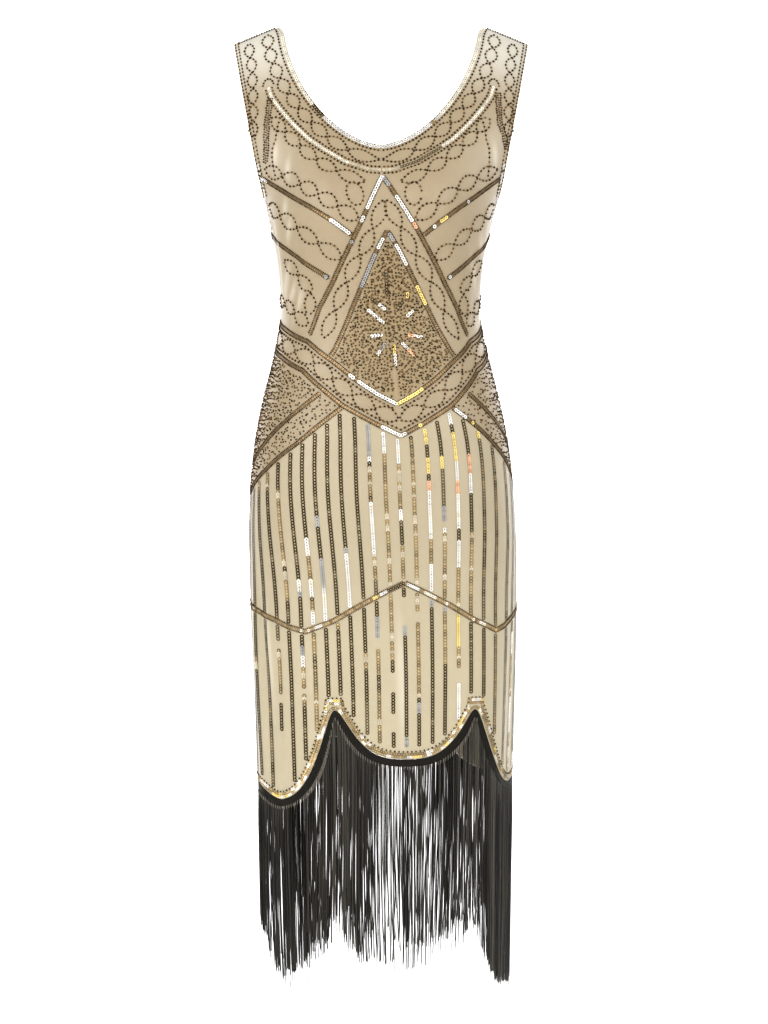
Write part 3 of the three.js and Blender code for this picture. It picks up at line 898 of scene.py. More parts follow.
def bead_strap(work, side):
    """The brown band of one strap, the rows and chain of its armhole, and a row along the shoulder."""
    panel = work.panel
    band = work.course(side, BROWN_BAND[side])
    for offset, amber in BROWN_ROWS:
        wander = offset + rng.uniform(-BROWN_WANDER, BROWN_WANDER, len(band[0]))
        work.string_beads(beside(band, wander), pitch=3.6, threaded=False, size=0.9, amber=amber)
    work.string_beads(work.course(side, ARMHOLE_CURVE))
    rows = edge_rows(panel, side, armhole_line, ARMHOLE_ROWS)
    for name in ("outer", "inner"):
        work.string_beads(rows[name], STRAP_PITCH, size=0.9)
    # The white sequins of the armhole and side rows are painted glints, with brown stretches between.
    for line in (rows["sequins"], charted(panel, side, SIDE_ROW)):
        work.sew_sequins(line, size=5, pitch=LINE_PITCH, plain="white", stretches=ARMHOLE_TONES)
    work.chain(work.course(side, ARMHOLE_CHAIN), loop=24, half=7, pitch=STRAP_PITCH)
    inner_x = STRAP_INNER_X + SHOULDER_ROW["inset"]
    outer_x = STRAP_OUTER_X - SHOULDER_ROW["inset"]
    x = np.linspace(inner_x, outer_x, SHOULDER_ROW["steps"])
    z = SHOULDER_SLOPE * (SHOULDER_MIDDLE_X - x) - SHOULDER_ROW["below"]
    work.string_beads(sewn(panel, side, place_on_panel(x, z)), SHOULDER_ROW["pitch"])


# Skirt stripes: how far each stands from the panel's middle, from its right side to its left, low on the
# skirt. Higher up they spread by a share, less so near the seams.
STRIPES = (
    [-86, -77.2, -67.5, -58.8, -52, -45.6, -40.2, -34.9, -29.8, -24.5, -18.6, -13.2, -7.2, -1.7]
    + [3.8, 9.8, 15.4, 21.3, 27.1, 33.6, 41, 51.2, 60, 69, 78, 86]
)
MIDDLE_STRIPE = 13
STRIPE_SPREAD = {"from": -770, "to": -545, "share": 0.105}
STRIPE_EASE = {"from": 88, "over": 30}
STRIPE_WIDENING = 0.3
STRIPE_POINTS = 120
STRIPE_CLEAR = {"top": 7, "above": 5, "below": 6, "border": 5, "uneven": 6}


def stripe_turn(away, level):
    """A stripe's turn from the panel's middle at each level: it spreads towards the hips."""
    rise = smooth((level - STRIPE_SPREAD["from"]) / (STRIPE_SPREAD["to"] - STRIPE_SPREAD["from"]))
    inside = smooth((STRIPE_EASE["from"] - abs(away)) / STRIPE_EASE["over"])
    return away + (away - SKIRT_SHIFT) * STRIPE_SPREAD["share"] * rise * inside


# Tones down the front's stripes from the top, above the zigzag and below it, each with the percent of the
# length that it takes. Bare means that the sequins are missing.
# The white, silver, gold and copper stretches are painted glints.
FRONT_STRIPES = {
    -12: ("brown 100", "brown 27, tan 8, brown 65"),
    -11: ("tan 8, brown 92", "olive 100"),
    -10: ("tan 13, brown 87", "olive 10, bare 5, tan 27, bare 7, brown 17, bare 34"),
    -9: ("brown 17, tan 48, brown 3, tan 19, brown 13", "brown 100"),
    -8: ("brown 73, white 7, silver 3, brown 17",
         "brown 9, silver 8, white 9, tan 17, bare 5, tan 10, brown 42"),
    -7: ("brown 52, white 10, tan 13, white 10, brown 2, tan 6, white 7", "tan 22, olive 33, tan 45"),
    -6: ("brown 44, silver 6, brown 17, silver 16, white 17", "brown 100"),
    -5: ("brown 100", "tan 10, brown 90"),
    -4: ("brown 69, silver 3, white 28", "brown 100"),
    -3: ("brown 100", "brown 36, tan 12, brown 26, olive 26"),
    -2: ("silver 19, white 3, brown 3, tan 14, olive 7, white 31, tan 15, olive 8",
         "brown 11, silver 14, bare 9, tan 18, brown 10, olive 15, tan 23"),
    -1: ("white 14, tan 86", "tan 43, brown 8, bare 13, brown 14, bare 12, brown 10"),
    0: ("white 18, tan 32, white 8, brown 18, tan 24", "brown 6, bare 18, silver 6, brown 64, silver 6"),
    1: ("olive 15, tan 85", "tan 12, bare 7, tan 49, brown 3, silver 7, brown 22"),
    2: ("gold 10, brown 8, gold 10, brown 4, copper 6, white 30, tan 15, white 17", "silver 5, brown 95"),
    3: ("brown 20, gold 7, olive 21, silver 9, bare 3, white 3, tan 37", "silver 4, tan 41, brown 55"),
    4: ("white 6, brown 4, gold 15, white 10, copper 7, white 18, brown 6, white 14, tan 20",
         "gold 31, tan 21, bare 14, white 34"),
    5: ("brown 18, copper 10, white 10, brown 20, tan 42", "brown 100"),
    6: ("gold 4, olive 96", "brown 100"),
    7: ("olive 100", "olive 100"),
    8: ("olive 100", "olive 100"),
}
# How the sequins of a tone vary along a stripe, and the tones of stripes that the front view hides.
MIXED_TONES = {
    "brown": {"brown": 0.9, "olive": 0.1},
    "olive": {"olive": 0.7, "brown": 0.15, "umber": 0.15},
    "tan": {"tan": 0.52, "umber": 0.33, "faded": 0.15},
    "white": {"white": 0.9, "pearl": 0.1},
}
MIXED_STEP = 0.028
# White and silver stretches of the hidden stripes are painted glints.
HIDDEN_TONES = {"brown": 0.66, "tan": 0.18, "white": 0.08, "silver": 0.08}
HIDDEN_SHARES = (0.06, 0.4)


def tone_runs(words):
    """Stretches from a list of tones with percentages: share from and to, and the tone."""
    stretches = []
    start = 0
    for tone, percent in (run.split() for run in words.split(", ")):
        end = start + float(percent) / 100
        stretches.append((start, end, tone))
        start = end
    return stretches


def chance_runs():
    """Stretches of tone by chance, mostly brown."""
    stretches = []
    start = 0
    while start < 1:
        end = start + rng.uniform(*HIDDEN_SHARES)
        tone = rng.choice(list(HIDDEN_TONES), p=list(HIDDEN_TONES.values()))
        stretches.append((start, end, tone))
        start = end
    return stretches


def sew_stripes(work):
    """Sequin stripes down the skirt, parted where the zigzag crosses them."""
    panel = work.panel
    for place, away in enumerate(STRIPES):
        charted_runs = FRONT_STRIPES.get(place - MIDDLE_STRIPE) if panel["middle"] == 0 else None
        width = STRIPE_SEQUIN * (1 + STRIPE_WIDENING * np.sin(np.radians(away)) ** 2)
        crossing = line_level("zigzag", abs(away - SKIRT_SHIFT))
        turn = np.array([panel["middle"] + away])
        bottom = border_level(panel, turn, BORDER_ROW + STRIPE_CLEAR["border"])[0]
        bottom = bottom + rng.uniform(0, STRIPE_CLEAR["uneven"])
        top = skirt_top(abs(stripe_turn(away, skirt_top(abs(away)))))
        above = (top - STRIPE_CLEAR["top"], crossing + STRIPE_CLEAR["above"])
        below = (crossing - STRIPE_CLEAR["below"], bottom)
        for part, ends in enumerate((above, below)):
            runs = tone_runs(charted_runs[part]) if charted_runs else chance_runs()
            level = np.linspace(*ends, STRIPE_POINTS)
            line = cloth_line(panel["middle"] + stripe_turn(away, level), level)
            for first, last, tone in runs:
                if tone != "bare":
                    mixed = chance_tones(MIXED_STEP, MIXED_TONES.get(tone, {tone: 1}))
                    work.sew_sequins(line, width, STRIPE_STEP, tone, mixed, keep=(first, last))


# The hem's border: how far above the hem its outer and inner rows of sequins run. Over the peaks it runs
# flat and a little higher, for a few degrees to each side.
BORDER_ROW = 6.4
BORDER_INNER = 2.6
BORDER_FLAT = 6
BORDER_HALF = 3.6
BORDER_SIZES = {BORDER_ROW: 4.4, BORDER_INNER: 4}
BORDER_PITCH = 3.4
BORDER_BEADS = {"above": 3.4, "pitch": 5.6, "size": 0.85}
BORDER_STEP = 0.01
BORDER_TILT = 0.18
ARCH = {"size": 4.8, "step": 0.15, "points": 40}
# White, pearl and gold in the border's mix are painted glints.
BORDER_TONES = {"umber": 0.26, "tan": 0.42, "gold": 0.09, "white": 0.11, "pearl": 0.12}


def border_level(panel, turn, up):
    """A line a set distance above the hem, flat over the peaks."""
    flat = HEM_PEAK + BORDER_FLAT + up
    from_peaks = [np.abs(turn_between(turn, panel["middle"] + peak)) for peak in hem_peaks(panel)]
    over_peak = np.min(from_peaks, axis=0) < BORDER_HALF
    return np.where(over_peak, flat, np.minimum(below_hem(turn, -up), flat))


def border_hem(work):
    """Two rows of mixed sequins along the hem, beads above them, and short rows that fill the arches."""
    panel = work.panel
    turn = panel_turns(panel, inset=0.5, count=900)

    def border(up):
        return resampled(cloth_line(turn, border_level(panel, turn, up)), 1)

    for up, size in BORDER_SIZES.items():
        tones = chance_tones(BORDER_STEP, BORDER_TONES)
        work.sew_sequins(border(up), size, BORDER_PITCH, "tan", tones, tilt=BORDER_TILT)
    beads = border(BORDER_ROW + BORDER_BEADS["above"])
    work.string_beads(beads, BORDER_BEADS["pitch"], threaded=False, size=BORDER_BEADS["size"])
    for peak in hem_peaks(panel):
        near = panel["middle"] + peak + np.linspace(-BORDER_HALF, BORDER_HALF, ARCH["points"])
        arch = resampled(cloth_line(near, below_hem(near, -BORDER_INNER)), 1)
        work.sew_sequins(arch, ARCH["size"], BORDER_PITCH, "tan", chance_tones(ARCH["step"], BORDER_TONES))


# Rings of a sequin for a radius of one, from the edge to the eye: their radius, how far they rise and
# which tone they take. The last is its middle point.
SEQUIN_RINGS = [(1, 0.1, 0), (0.78, 0.08, 1), (0.37, 0.03, 1), (0.29, 0.06, 2), (0, 0.08, 2)]


def sequin_shape():
    """A cupped disc with an eye: rings of points at its edge and round its eye, and one in the middle."""
    angles = np.arange(SEQUIN_SIDES) * 2 * np.pi / SEQUIN_SIDES
    circle = np.stack([np.cos(angles), np.sin(angles), np.zeros(SEQUIN_SIDES)], axis=-1)
    rings = [circle * radius + UP * rise for radius, rise, _ in SEQUIN_RINGS]
    template = np.concatenate([*rings[:-1], rings[-1][:1]])
    k = np.arange(SEQUIN_SIDES)
    after = (k + 1) % SEQUIN_SIDES
    rim = np.stack([k, after, after + SEQUIN_SIDES, k + SEQUIN_SIDES], axis=-1)
    middle = np.full(SEQUIN_SIDES, 4 * SEQUIN_SIDES)
    eye = np.stack([k + 3 * SEQUIN_SIDES, after + 3 * SEQUIN_SIDES, middle], axis=-1)
    tone_of = np.array([tone for _, _, tone in SEQUIN_RINGS])[np.arange(len(template)) // SEQUIN_SIDES]
    return template, [rim, rim + SEQUIN_SIDES, eye], tone_of


def bead_shape():
    """A bead of twenty faces: three golden rectangles at right angles, their corners joined."""
    golden = (1 + 5**0.5) / 2
    signs = np.array([(a, b * golden) for a in (-1, 1) for b in (-1, 1)])
    blank = np.zeros((4, 1))
    flat = np.concatenate([blank, signs], axis=-1)
    template = unit(np.concatenate([flat, np.roll(flat, 1, axis=1), np.roll(flat, 2, axis=1)]))
    near = np.linalg.norm(template[:, None] - template[None], axis=-1) < 1.1
    faces = [
        (a, b, c)
        for a in range(12)
        for b in range(a + 1, 12)
        for c in range(b + 1, 12)
        if near[a, b] and near[b, c] and near[a, c]
    ]
    faces = np.array(faces)
    a, b, c = (template[faces[:, k]] for k in range(3))
    inward = np.sum(np.cross(b - a, c - a) * a, axis=-1) < 0
    faces[inward] = faces[inward][:, ::-1]
    return template, [faces], np.zeros(12, int)


def thread_tubes(name, threads, material):
    """The carrying threads as three-sided prisms, one for each gap between two beads."""
    starts = np.concatenate([points[:-1] for points, _ in threads])
    ends = np.concatenate([points[1:] for points, _ in threads])
    normals = np.concatenate([outward[:-1] for _, outward in threads])
    close = np.linalg.norm(ends - starts, axis=-1) < 2 * BEAD_PITCH
    paths = np.stack([starts, ends], axis=1)[close]
    outward = np.repeat(normals[close][:, None], 2, axis=1)
    crosswise = unit(np.cross(outward, paths[:, 1:] - paths[:, :1]))
    radii = np.full(paths.shape[:2], THREAD_RADIUS)
    return tubes(name, paths, (crosswise, outward), radii, THREAD_SIDES, material)


def bead_panel(panel, materials):
    """All beadwork of a panel as joined meshes."""
    work = Beadwork(panel)
    for side in (-1, 1):
        bead_bodice(work, side)
        bead_neck(work, side)
        bead_strap(work, side)
    bead_star(work)
    border_hem(work)
    rows_above = len(work.sequins)
    sew_stripes(work)
    name = panel["name"]
    pieces = []
    for part, rows in (("bodice", work.sequins[:rows_above]), ("skirt", work.sequins[rows_above:])):
        sequins = work.gathered(rows)
        pieces.append(scatter(f"{name}_{part}_sequins", sequin_shape(), *sequins, materials["sequins"]))
    pieces.append(scatter(f"{name}_beads", bead_shape(), *work.gathered(work.beads), materials["beads"]))
    pieces.append(thread_tubes(f"{name}_threads", work.threads, materials["threads"]))
    return pieces


# Cloth panels
BODY_ROWS = 104
SCALLOP_COLUMNS = (60, 30, 30, 60)
CENTRE_ROWS = 10
STRAP_ROWS = 56
CLOTH_END = HALF_PANEL - 0.1
MAP_RADIUS = 170
# Where the cloth's looks change: the beaded part above the skirt's top, the filled hip, the pale straps
# with a painted satin highlight at the armpit, and the upper skirt, which is darker.
WORKED_BLEND = 6
HIP_DENSITY = 0.3
PALE = {"from": -105, "over": 90}
ARMPIT_SHEEN = {"share": 0.3, "away": 51, "half_across": 11, "level": -168, "half_up": 45}
DEEP = {"from": -860, "over": 220}


def panel_columns(panel):
    """Turns of a panel's columns, with one on each peak of the hem and one on the middle."""
    before, after = hem_peaks(panel)
    knots = (-CLOTH_END, before, 0, after, CLOTH_END)
    runs = [np.linspace(a, b, n, endpoint=False) for a, b, n in zip(knots, knots[1:], SCALLOP_COLUMNS)]
    return np.append(np.concatenate(runs), knots[-1])


def cloth_chart(panel):
    """The chart of a panel's cloth as grids of away and level: the body from hem to underarm, then two
    straps that are drawn between the neck and the armhole."""
    columns = panel_columns(panel)
    rows = np.linspace(0, 1, BODY_ROWS)[:, None]
    hem = hem_level(panel["middle"] + columns)
    grids = [(np.broadcast_to(columns, (BODY_ROWS, len(columns))), hem + (UNDERARM - hem) * rows)]
    centre_steps = np.linspace(0, NECK_SHARE, CENTRE_ROWS)
    steps = np.concatenate([centre_steps, np.linspace(NECK_SHARE, 1, STRAP_ROWS)[1:]])
    inner_away, inner_level = (column[:, None] for column in strap_inner(panel, steps))
    outer_away, outer_level = (column[:, None] for column in strap_outer(panel, steps))
    outer_away = np.minimum(outer_away, CLOTH_END)
    for side in (-1, 1):
        shares = np.abs(columns[side * columns >= 0]) / columns[-1]
        away = side * (inner_away + (outer_away - inner_away) * shares)
        grids.append((away, inner_level + (outer_level - inner_level) * shares))
    return grids


def cloth_masks(away, level):
    """Shares of the cloth's looks: worked with beads, densely filled, pale with a painted armpit
    highlight, and darker on the upper skirt.
    """
    size = np.abs(away)
    worked = smooth((level - skirt_top(size)) / WORKED_BLEND + 0.5)
    dense = np.where(in_diamond(size, level), 1, np.where(in_hip(size, level), HIP_DENSITY, 0))
    # A painted satin highlight: a patch by each armpit is lightened, carried in the pale share.
    beside_armpit = (size - ARMPIT_SHEEN["away"]) / ARMPIT_SHEEN["half_across"]
    above_armpit = (level - ARMPIT_SHEEN["level"]) / ARMPIT_SHEEN["half_up"]
    armpit_sheen = ARMPIT_SHEEN["share"] * np.exp(-(beside_armpit**2) - above_armpit**2)
    pale = np.maximum(smooth((level - PALE["from"]) / PALE["over"]), armpit_sheen)
    deep = smooth((level - DEEP["from"]) / DEEP["over"])
    return worked, dense, pale, deep


def cloth_piece(panel, material):
    """A panel's cloth as one welded sheet of quads, given its wall by a thickness."""
    grids = cloth_chart(panel)
    faces = []
    first = 0
    for away, _ in grids:
        faces.append(grid_faces(*away.shape, first))
        first += away.size
    away = np.concatenate([grid[0].ravel() for grid in grids])
    level = np.concatenate([grid[1].ravel() for grid in grids])
    points = cloth_point(panel["middle"] + away, level)
    on_shoulder = level > -1e-6
    points[on_shoulder, 1] = panel["facing"] * SEAM_GAP / 2
    _, first_seen, welded = np.unique(np.round(points, 3), axis=0, return_index=True, return_inverse=True)
    quads = welded.ravel()[np.concatenate(faces)]
    piece = put_down(f"{panel['name']}_cloth", points[first_seen], [quads], material)
    away = away[first_seen]
    level = level[first_seen]
    give_map(piece, np.radians(away) * MAP_RADIUS, level)
    for name, mask in zip(("worked", "dense", "pale", "deep"), cloth_masks(away, level)):
        give_attribute(piece, name, "FLOAT", mask)
    give_attribute(piece, "ridge", "FLOAT", ridge_highlight_share(panel["middle"] + away, level))
    wall = piece.modifiers.new("wall", "SOLIDIFY")
    wall.thickness = CLOTH_THICKNESS * MM
    wall.offset = 0
    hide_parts(panel["name"])
    return piece


# Fringe
TAPE_WIDTH = 10
TAPE_GAP = 0.5
TAPE_ROWS = 6
TAPE_THICKNESS = 1.2
STITCH_PITCH = 4.2
STITCH_LENGTH = 3.4
STITCH_RADIUS = 0.42
STITCH_LIFT = 2.8
STITCHED = (-84, 30)
FRINGE_THREADS = 900
FRINGE_STEPS = 14
FRINGE_RADIUS = 0.64
# Where the front's fringe is thin: how far from the middle, how wide, and what share is missing.
# The back's is thin behind the same places.
FRINGE_THIN = [
    (-48, 13, 0.86),
    (-7, 7, 0.35),
    (14, 12, 0.78),
    (23.5, 1.1, 0.95),
    (32, 6, 0.6),
    (58, 6, 0.7),
]
BEHIND = -1.08
# Where the fringe ends, by how far to the side it hangs. The back's threads are a little longer.
FRINGE_ENDS = table(
    "side level",
    [
        (-166, -1180),
        (-156, -1192),
        (-145, -1240),
        (-128, -1262),
        (-115, -1260),
        (-100, -1247),
        (-80, -1230),
        (-64, -1200),
        (-54, -1178),
        (-44, -1203),
        (-27, -1222),
        (0, -1228),
        (48, -1237),
        (77, -1228),
        (97, -1215),
        (111, -1196),
        (120, -1182),
        (130, -1205),
        (143, -1240),
        (158, -1264),
        (170, -1262),
    ],
)
FRINGE_RAGGED = 6
GOLDEN_SHARE = 0.618
SHORT_THREADS = {"share": 0.2, "least": 0.68}
BACK_LONGER = 14
# How the threads hang: where on the tape they start, the level that sorts them by side, how they swing
# together, stray and ripple one by one, lie in layers and grow thinner.
ROOT_SHARE = 0.6
HANG_LEVEL = -1200.0
FRINGE_SWING = {"reach": 2.6, "turns": 7, "falls": 0.9}
FRINGE_STRAY = 0.9
FRINGE_RIPPLE = {"reach": 0.6, "start": 6.28, "slowest": 4, "fastest": 13}
FRINGE_LAYER = {"half": 1.7, "opening": 4}
FRINGE_TAPER = 0.15


def fringe_turns(panel):
    """Turns of the fringe threads, spaced evenly along the hem so that they crowd where it is steep.
    Where it is thin, those left out are spread evenly by multiples of the golden share."""
    fine = panel_turns(panel, inset=0.6, count=1600)
    run = run_of(cloth_point(fine, hem_level(fine)))
    number = np.arange(FRINGE_THREADS)
    marks = (number + rng.uniform(0.3, 0.7, FRINGE_THREADS)) * run[-1] / FRINGE_THREADS
    turn = np.interp(marks, run, fine)
    chance = (number * GOLDEN_SHARE + rng.uniform(0, 0.12, FRINGE_THREADS)) % 1
    facing = 1 if panel["middle"] == 0 else BEHIND
    for away, width, missing in FRINGE_THIN:
        nearness = np.exp(-((turn_between(turn, panel["middle"] + facing * away) / width) ** 4))
        chance = np.where(chance < missing * nearness, -1, chance)
    return turn[chance >= 0]


def fringe_ends(turn, root):
    """Levels where the threads end: unevenly along a line of scallops, and some of them higher."""
    count = len(turn)
    hang = cloth_point(turn, np.full(count, HANG_LEVEL))
    end = np.interp(hang[:, 0], FRINGE_ENDS["side"], FRINGE_ENDS["level"])
    end = end + np.where(hang[:, 1] > 0, -BACK_LONGER, 0)
    end = end + FRINGE_RAGGED * rng.normal(0, 1, count)
    short = rng.random(count) < SHORT_THREADS["share"]
    return np.where(short, root + (end - root) * rng.uniform(SHORT_THREADS["least"], 1, count), end)


def fringe_piece(panel, material):
    """Fringe threads: each falls from the tape, swings with its neighbours, strays and ripples."""
    turn = fringe_turns(panel)
    root = below_hem(turn, TAPE_WIDTH * ROOT_SHARE)
    end = fringe_ends(turn, root)
    each = (len(turn), 1)
    step = np.linspace(0, 1, FRINGE_STEPS)[None]
    level = root[:, None] + (end - root)[:, None] * step
    turns = np.broadcast_to(turn[:, None], level.shape)
    paths = cloth_point(turns, level)
    outward = cloth_normal(turns, level)
    around = unit(np.cross(UP, outward))
    phase = np.radians(turns) * FRINGE_SWING["turns"] + step * FRINGE_SWING["falls"] * np.pi
    swing = FRINGE_SWING["reach"] * step * np.sin(phase)
    stray = rng.normal(0, FRINGE_STRAY, each) * step**1.5
    start = rng.uniform(0, FRINGE_RIPPLE["start"], each)
    pace = rng.uniform(FRINGE_RIPPLE["slowest"], FRINGE_RIPPLE["fastest"], each)
    ripple = FRINGE_RIPPLE["reach"] * np.sin(start + step * pace) * step
    sideways = swing + stray + ripple
    layer = rng.uniform(-FRINGE_LAYER["half"], FRINGE_LAYER["half"], each)
    layer = layer * np.minimum(1, step * FRINGE_LAYER["opening"])
    paths = paths + around * sideways[..., None] + outward * layer[..., None]
    flat = np.broadcast_to(np.array([1.0, 0, 0]), paths.shape)
    deep = np.broadcast_to(np.array([0, 1.0, 0]), paths.shape)
    taper = FRINGE_RADIUS * (1 - FRINGE_TAPER * step**6) * rng.uniform(0.85, 1.15, each)
    piece = tubes(f"{panel['name']}_fringe_threads", paths, (flat, deep), taper, THREAD_SIDES, material)
    # Painted highlight: each thread is lightened by a random share, for the shine of silk.
    shine = rng.random(len(turn)) ** 2
    give_attribute(piece, "shine", "FLOAT", np.repeat(shine, FRINGE_STEPS * THREAD_SIDES))
    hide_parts(f"fringe_{panel['name']}")
    return piece


def tape_piece(panel, material):
    """The fringe's header tape: a ribbed strip that follows the hem just below it."""
    turn = panel_turns(panel, inset=0.2, count=420)
    distances = np.linspace(TAPE_WIDTH, TAPE_GAP, TAPE_ROWS)
    level = np.stack([below_hem(turn, distance) for distance in distances])
    turns = np.broadcast_to(turn, level.shape)
    points = cloth_point(turns, level).reshape(-1, 3)
    piece = put_down(f"{panel['name']}_tape", points, [grid_faces(*level.shape)], material)
    run = run_of(cloth_point(turn, hem_level(turn)))
    give_map(piece, np.tile(run, TAPE_ROWS), np.repeat(distances, len(turn)))
    wall = piece.modifiers.new("wall", "SOLIDIFY")
    wall.thickness = TAPE_THICKNESS * MM
    wall.offset = 0
    return piece


def tape_stitches(panel, material):
    """Pale stitches over the tape's lower edge, square to it, as short thin prisms at an even pitch."""
    fine = panel["middle"] + np.linspace(*STITCHED, 900)
    run = run_of(cloth_point(fine, hem_level(fine)))
    turn = np.interp(np.arange(2, run[-1], STITCH_PITCH), run, fine)
    ends = []
    for distance in (TAPE_WIDTH - 0.6, TAPE_WIDTH + STITCH_LENGTH):
        level = below_hem(turn, distance)
        ends.append(cloth_point(turn, level) + cloth_normal(turn, level) * STITCH_LIFT)
    paths = np.stack(ends, axis=1)
    outward = np.repeat(cloth_normal(turn, hem_level(turn))[:, None], 2, axis=1)
    crosswise = unit(np.cross(outward, paths[:, 1:] - paths[:, :1]))
    radii = np.full(paths.shape[:2], STITCH_RADIUS)
    piece = tubes(f"{panel['name']}_stitches", paths, (crosswise, outward), radii, THREAD_SIDES, material)
    return piece


# Materials


class Shade:
    """A socket of a material's nodes. Expressions on shades add Math nodes."""

    def __init__(self, tree, socket=None):
        self.tree = tree
        self.socket = socket

    def node(self, kind, settings, sockets, output=0):
        """Any node: its type, its settings, the values or links of its sockets, and the output wanted."""
        made = self.tree.nodes.new(kind)
        for name, value in settings.items():
            setattr(made, name, value)
        for name, value in sockets.items():
            if isinstance(value, Shade):
                self.tree.links.new(value.socket, made.inputs[name])
            else:
                made.inputs[name].default_value = value
        return Shade(self.tree, made.outputs[output])

    def math(self, operation, first, second=0.0):
        """A sum, product or other operation on two values."""
        return self.node("ShaderNodeMath", {"operation": operation}, {0: first, 1: second})

    def __add__(self, other):
        return self.math("ADD", self, other)

    def __sub__(self, other):
        return self.math("SUBTRACT", self, other)

    def __rsub__(self, other):
        return self.math("SUBTRACT", other, self)

    def __mul__(self, other):
        return self.math("MULTIPLY", self, other)

    __radd__ = __add__
    __rmul__ = __mul__

    def wave(self, period):
        """A wave between 0 and 1 for a length that this value runs through."""
        return self.math("SINE", self * (2 * np.pi / period)) * 0.5 + 0.5

    def blend(self, first, second):
        """A colour between two, by this value."""
        return self.node("ShaderNodeMix", {"data_type": "RGBA"}, {0: self, 6: first, 7: second}, 2)

    def tinted(self, colour):
        """This colour times another."""
        settings = {"data_type": "RGBA", "blend_type": "MULTIPLY"}
        return self.node("ShaderNodeMix", settings, {0: 1.0, 6: self, 7: colour}, 2)

    def attribute(self, name, output):
        """An attribute of the piece's own: output 0 is its colour, 2 its value."""
        return self.node("ShaderNodeAttribute", {"attribute_name": name}, {}, output)

    def noise(self, scale, detail=3.0):
        """Soft noise on the piece's own coordinates, in patches of one over scale metres."""
        place = self.node("ShaderNodeTexCoord", {}, {}, "Object")
        sockets = {"Vector": place, "Scale": scale, "Detail": detail}
        return self.node("ShaderNodeTexNoise", {}, sockets, "Fac")

    def mapped(self, output):
        """A length on the piece's own map in metres: X across it or Y up it."""
        place = self.node("ShaderNodeUVMap", {"uv_map": "cloth"}, {})
        return self.node("ShaderNodeSeparateXYZ", {}, {"Vector": place}, output)

    def bump(self, strength, distance):
        """A bumped normal whose height is this value."""
        sockets = {"Height": self, "Strength": strength, "Distance": distance}
        return self.node("ShaderNodeBump", {}, sockets)


def finish(name, sockets_of):
    """A material with one surface shader, whose sockets are filled from a dictionary."""
    material = bpy.data.materials.new(name)
    material.use_nodes = True
    tree = material.node_tree
    shader = tree.nodes["Principled BSDF"]
    for socket, value in sockets_of(Shade(tree)).items():
        if isinstance(value, Shade):
            tree.links.new(value.socket, shader.inputs[socket])
        else:
            shader.inputs[socket].default_value = value
    return material


# Pitches in metres of the net's threads and of the braid's ribs.
NET_PITCH = 0.0011
RIB_PITCH = 0.0016


def cloth_finish(shade):
    """Beige net over satin: fine crossed threads, soft mottling, warmer where it is beaded, and painted
    satin highlights on fold crests and by the armpits.
    """
    threads = shade.math("MAXIMUM", shade.mapped("X").wave(NET_PITCH), shade.mapped("Y").wave(NET_PITCH))
    mottle = shade.noise(26) * 0.65 + shade.noise(140) * 0.35
    plain = mottle.blend(srgb(164, 152, 124), srgb(177, 165, 137))
    upper = mottle.blend(srgb(155, 142, 115), srgb(167, 154, 127))
    beaded = mottle.blend(srgb(140, 123, 94), srgb(157, 140, 111))
    filled = mottle.blend(srgb(132, 112, 77), srgb(150, 129, 92))
    plain = shade.attribute("deep", 2).blend(plain, upper)
    base = shade.attribute("worked", 2).blend(plain, beaded)
    base = shade.attribute("dense", 2).blend(base, filled)
    # Pale straps, and the painted satin highlight by each armpit.
    base = shade.attribute("pale", 2).blend(base, srgb(192, 187, 173))
    # Painted highlight: the crests of narrow folds are lightened as satin that catches the light.
    base = (shade.attribute("ridge", 2) * 0.4).blend(base, srgb(214, 206, 190))
    base = base.tinted((threads * 0.16).blend((1, 1, 1, 1), (0.72, 0.68, 0.6, 1)))
    return {
        "Base Color": base,
        "Roughness": 0.56 - mottle * 0.16,
        "Normal": threads.bump(0.25, 0.0003),
        "Sheen Weight": 0.45,
        "Sheen Roughness": 0.4,
    }


def sequin_finish(shade):
    """Metal-coated discs in tones set per sequin, with painted shade at the edge and painted glints,
    scuffed a little.
    """
    scuff = shade.noise(420)
    return {
        "Base Color": shade.attribute("tone", 0),
        "Roughness": scuff * 0.2 + 0.28,
        "Metallic": 0.75 - shade.attribute("tone", 2) * 0.55,
        "Specular IOR Level": 0.25,
    }


def bead_finish(shade):
    """Small glass beads, dark brown with a few of amber."""
    return {
        "Base Color": shade.attribute("tone", 0),
        "Roughness": shade.noise(300) * 0.2 + 0.35,
        "Specular IOR Level": 0.06,
    }


def thread_finish(shade):
    """Tan silk thread, darker in places."""
    return {
        "Base Color": shade.noise(180).blend(srgb(140, 108, 62), srgb(168, 138, 92)),
        "Roughness": shade.noise(900) * 0.2 + 0.45,
    }


def fringe_finish(shade):
    """Black twisted silk: near-black threads with a faint brown cast and a soft shine."""
    return {
        "Base Color": shade.attribute("shine", 2).blend(srgb(16, 15, 12), srgb(78, 74, 66)),
        "Roughness": shade.noise(500) * 0.25 + 0.34,
        "Specular IOR Level": 0.2,
    }


def tape_finish(shade):
    """Black braid with fine ribs across it."""
    ribs = shade.mapped("X").wave(RIB_PITCH)
    return {
        "Base Color": (ribs * 0.7 + shade.noise(200) * 0.3).blend(srgb(12, 11, 9), srgb(34, 31, 26)),
        "Roughness": 0.65 - ribs * 0.15,
        "Specular IOR Level": 0.06,
        "Normal": ribs.bump(0.5, 0.0004),
    }


def stitch_finish(shade):
    """Grey-beige sewing thread."""
    return {
        "Base Color": shade.noise(150).blend(srgb(70, 64, 54), srgb(150, 142, 126)),
        "Roughness": shade.noise(900) * 0.2 + 0.5,
    }


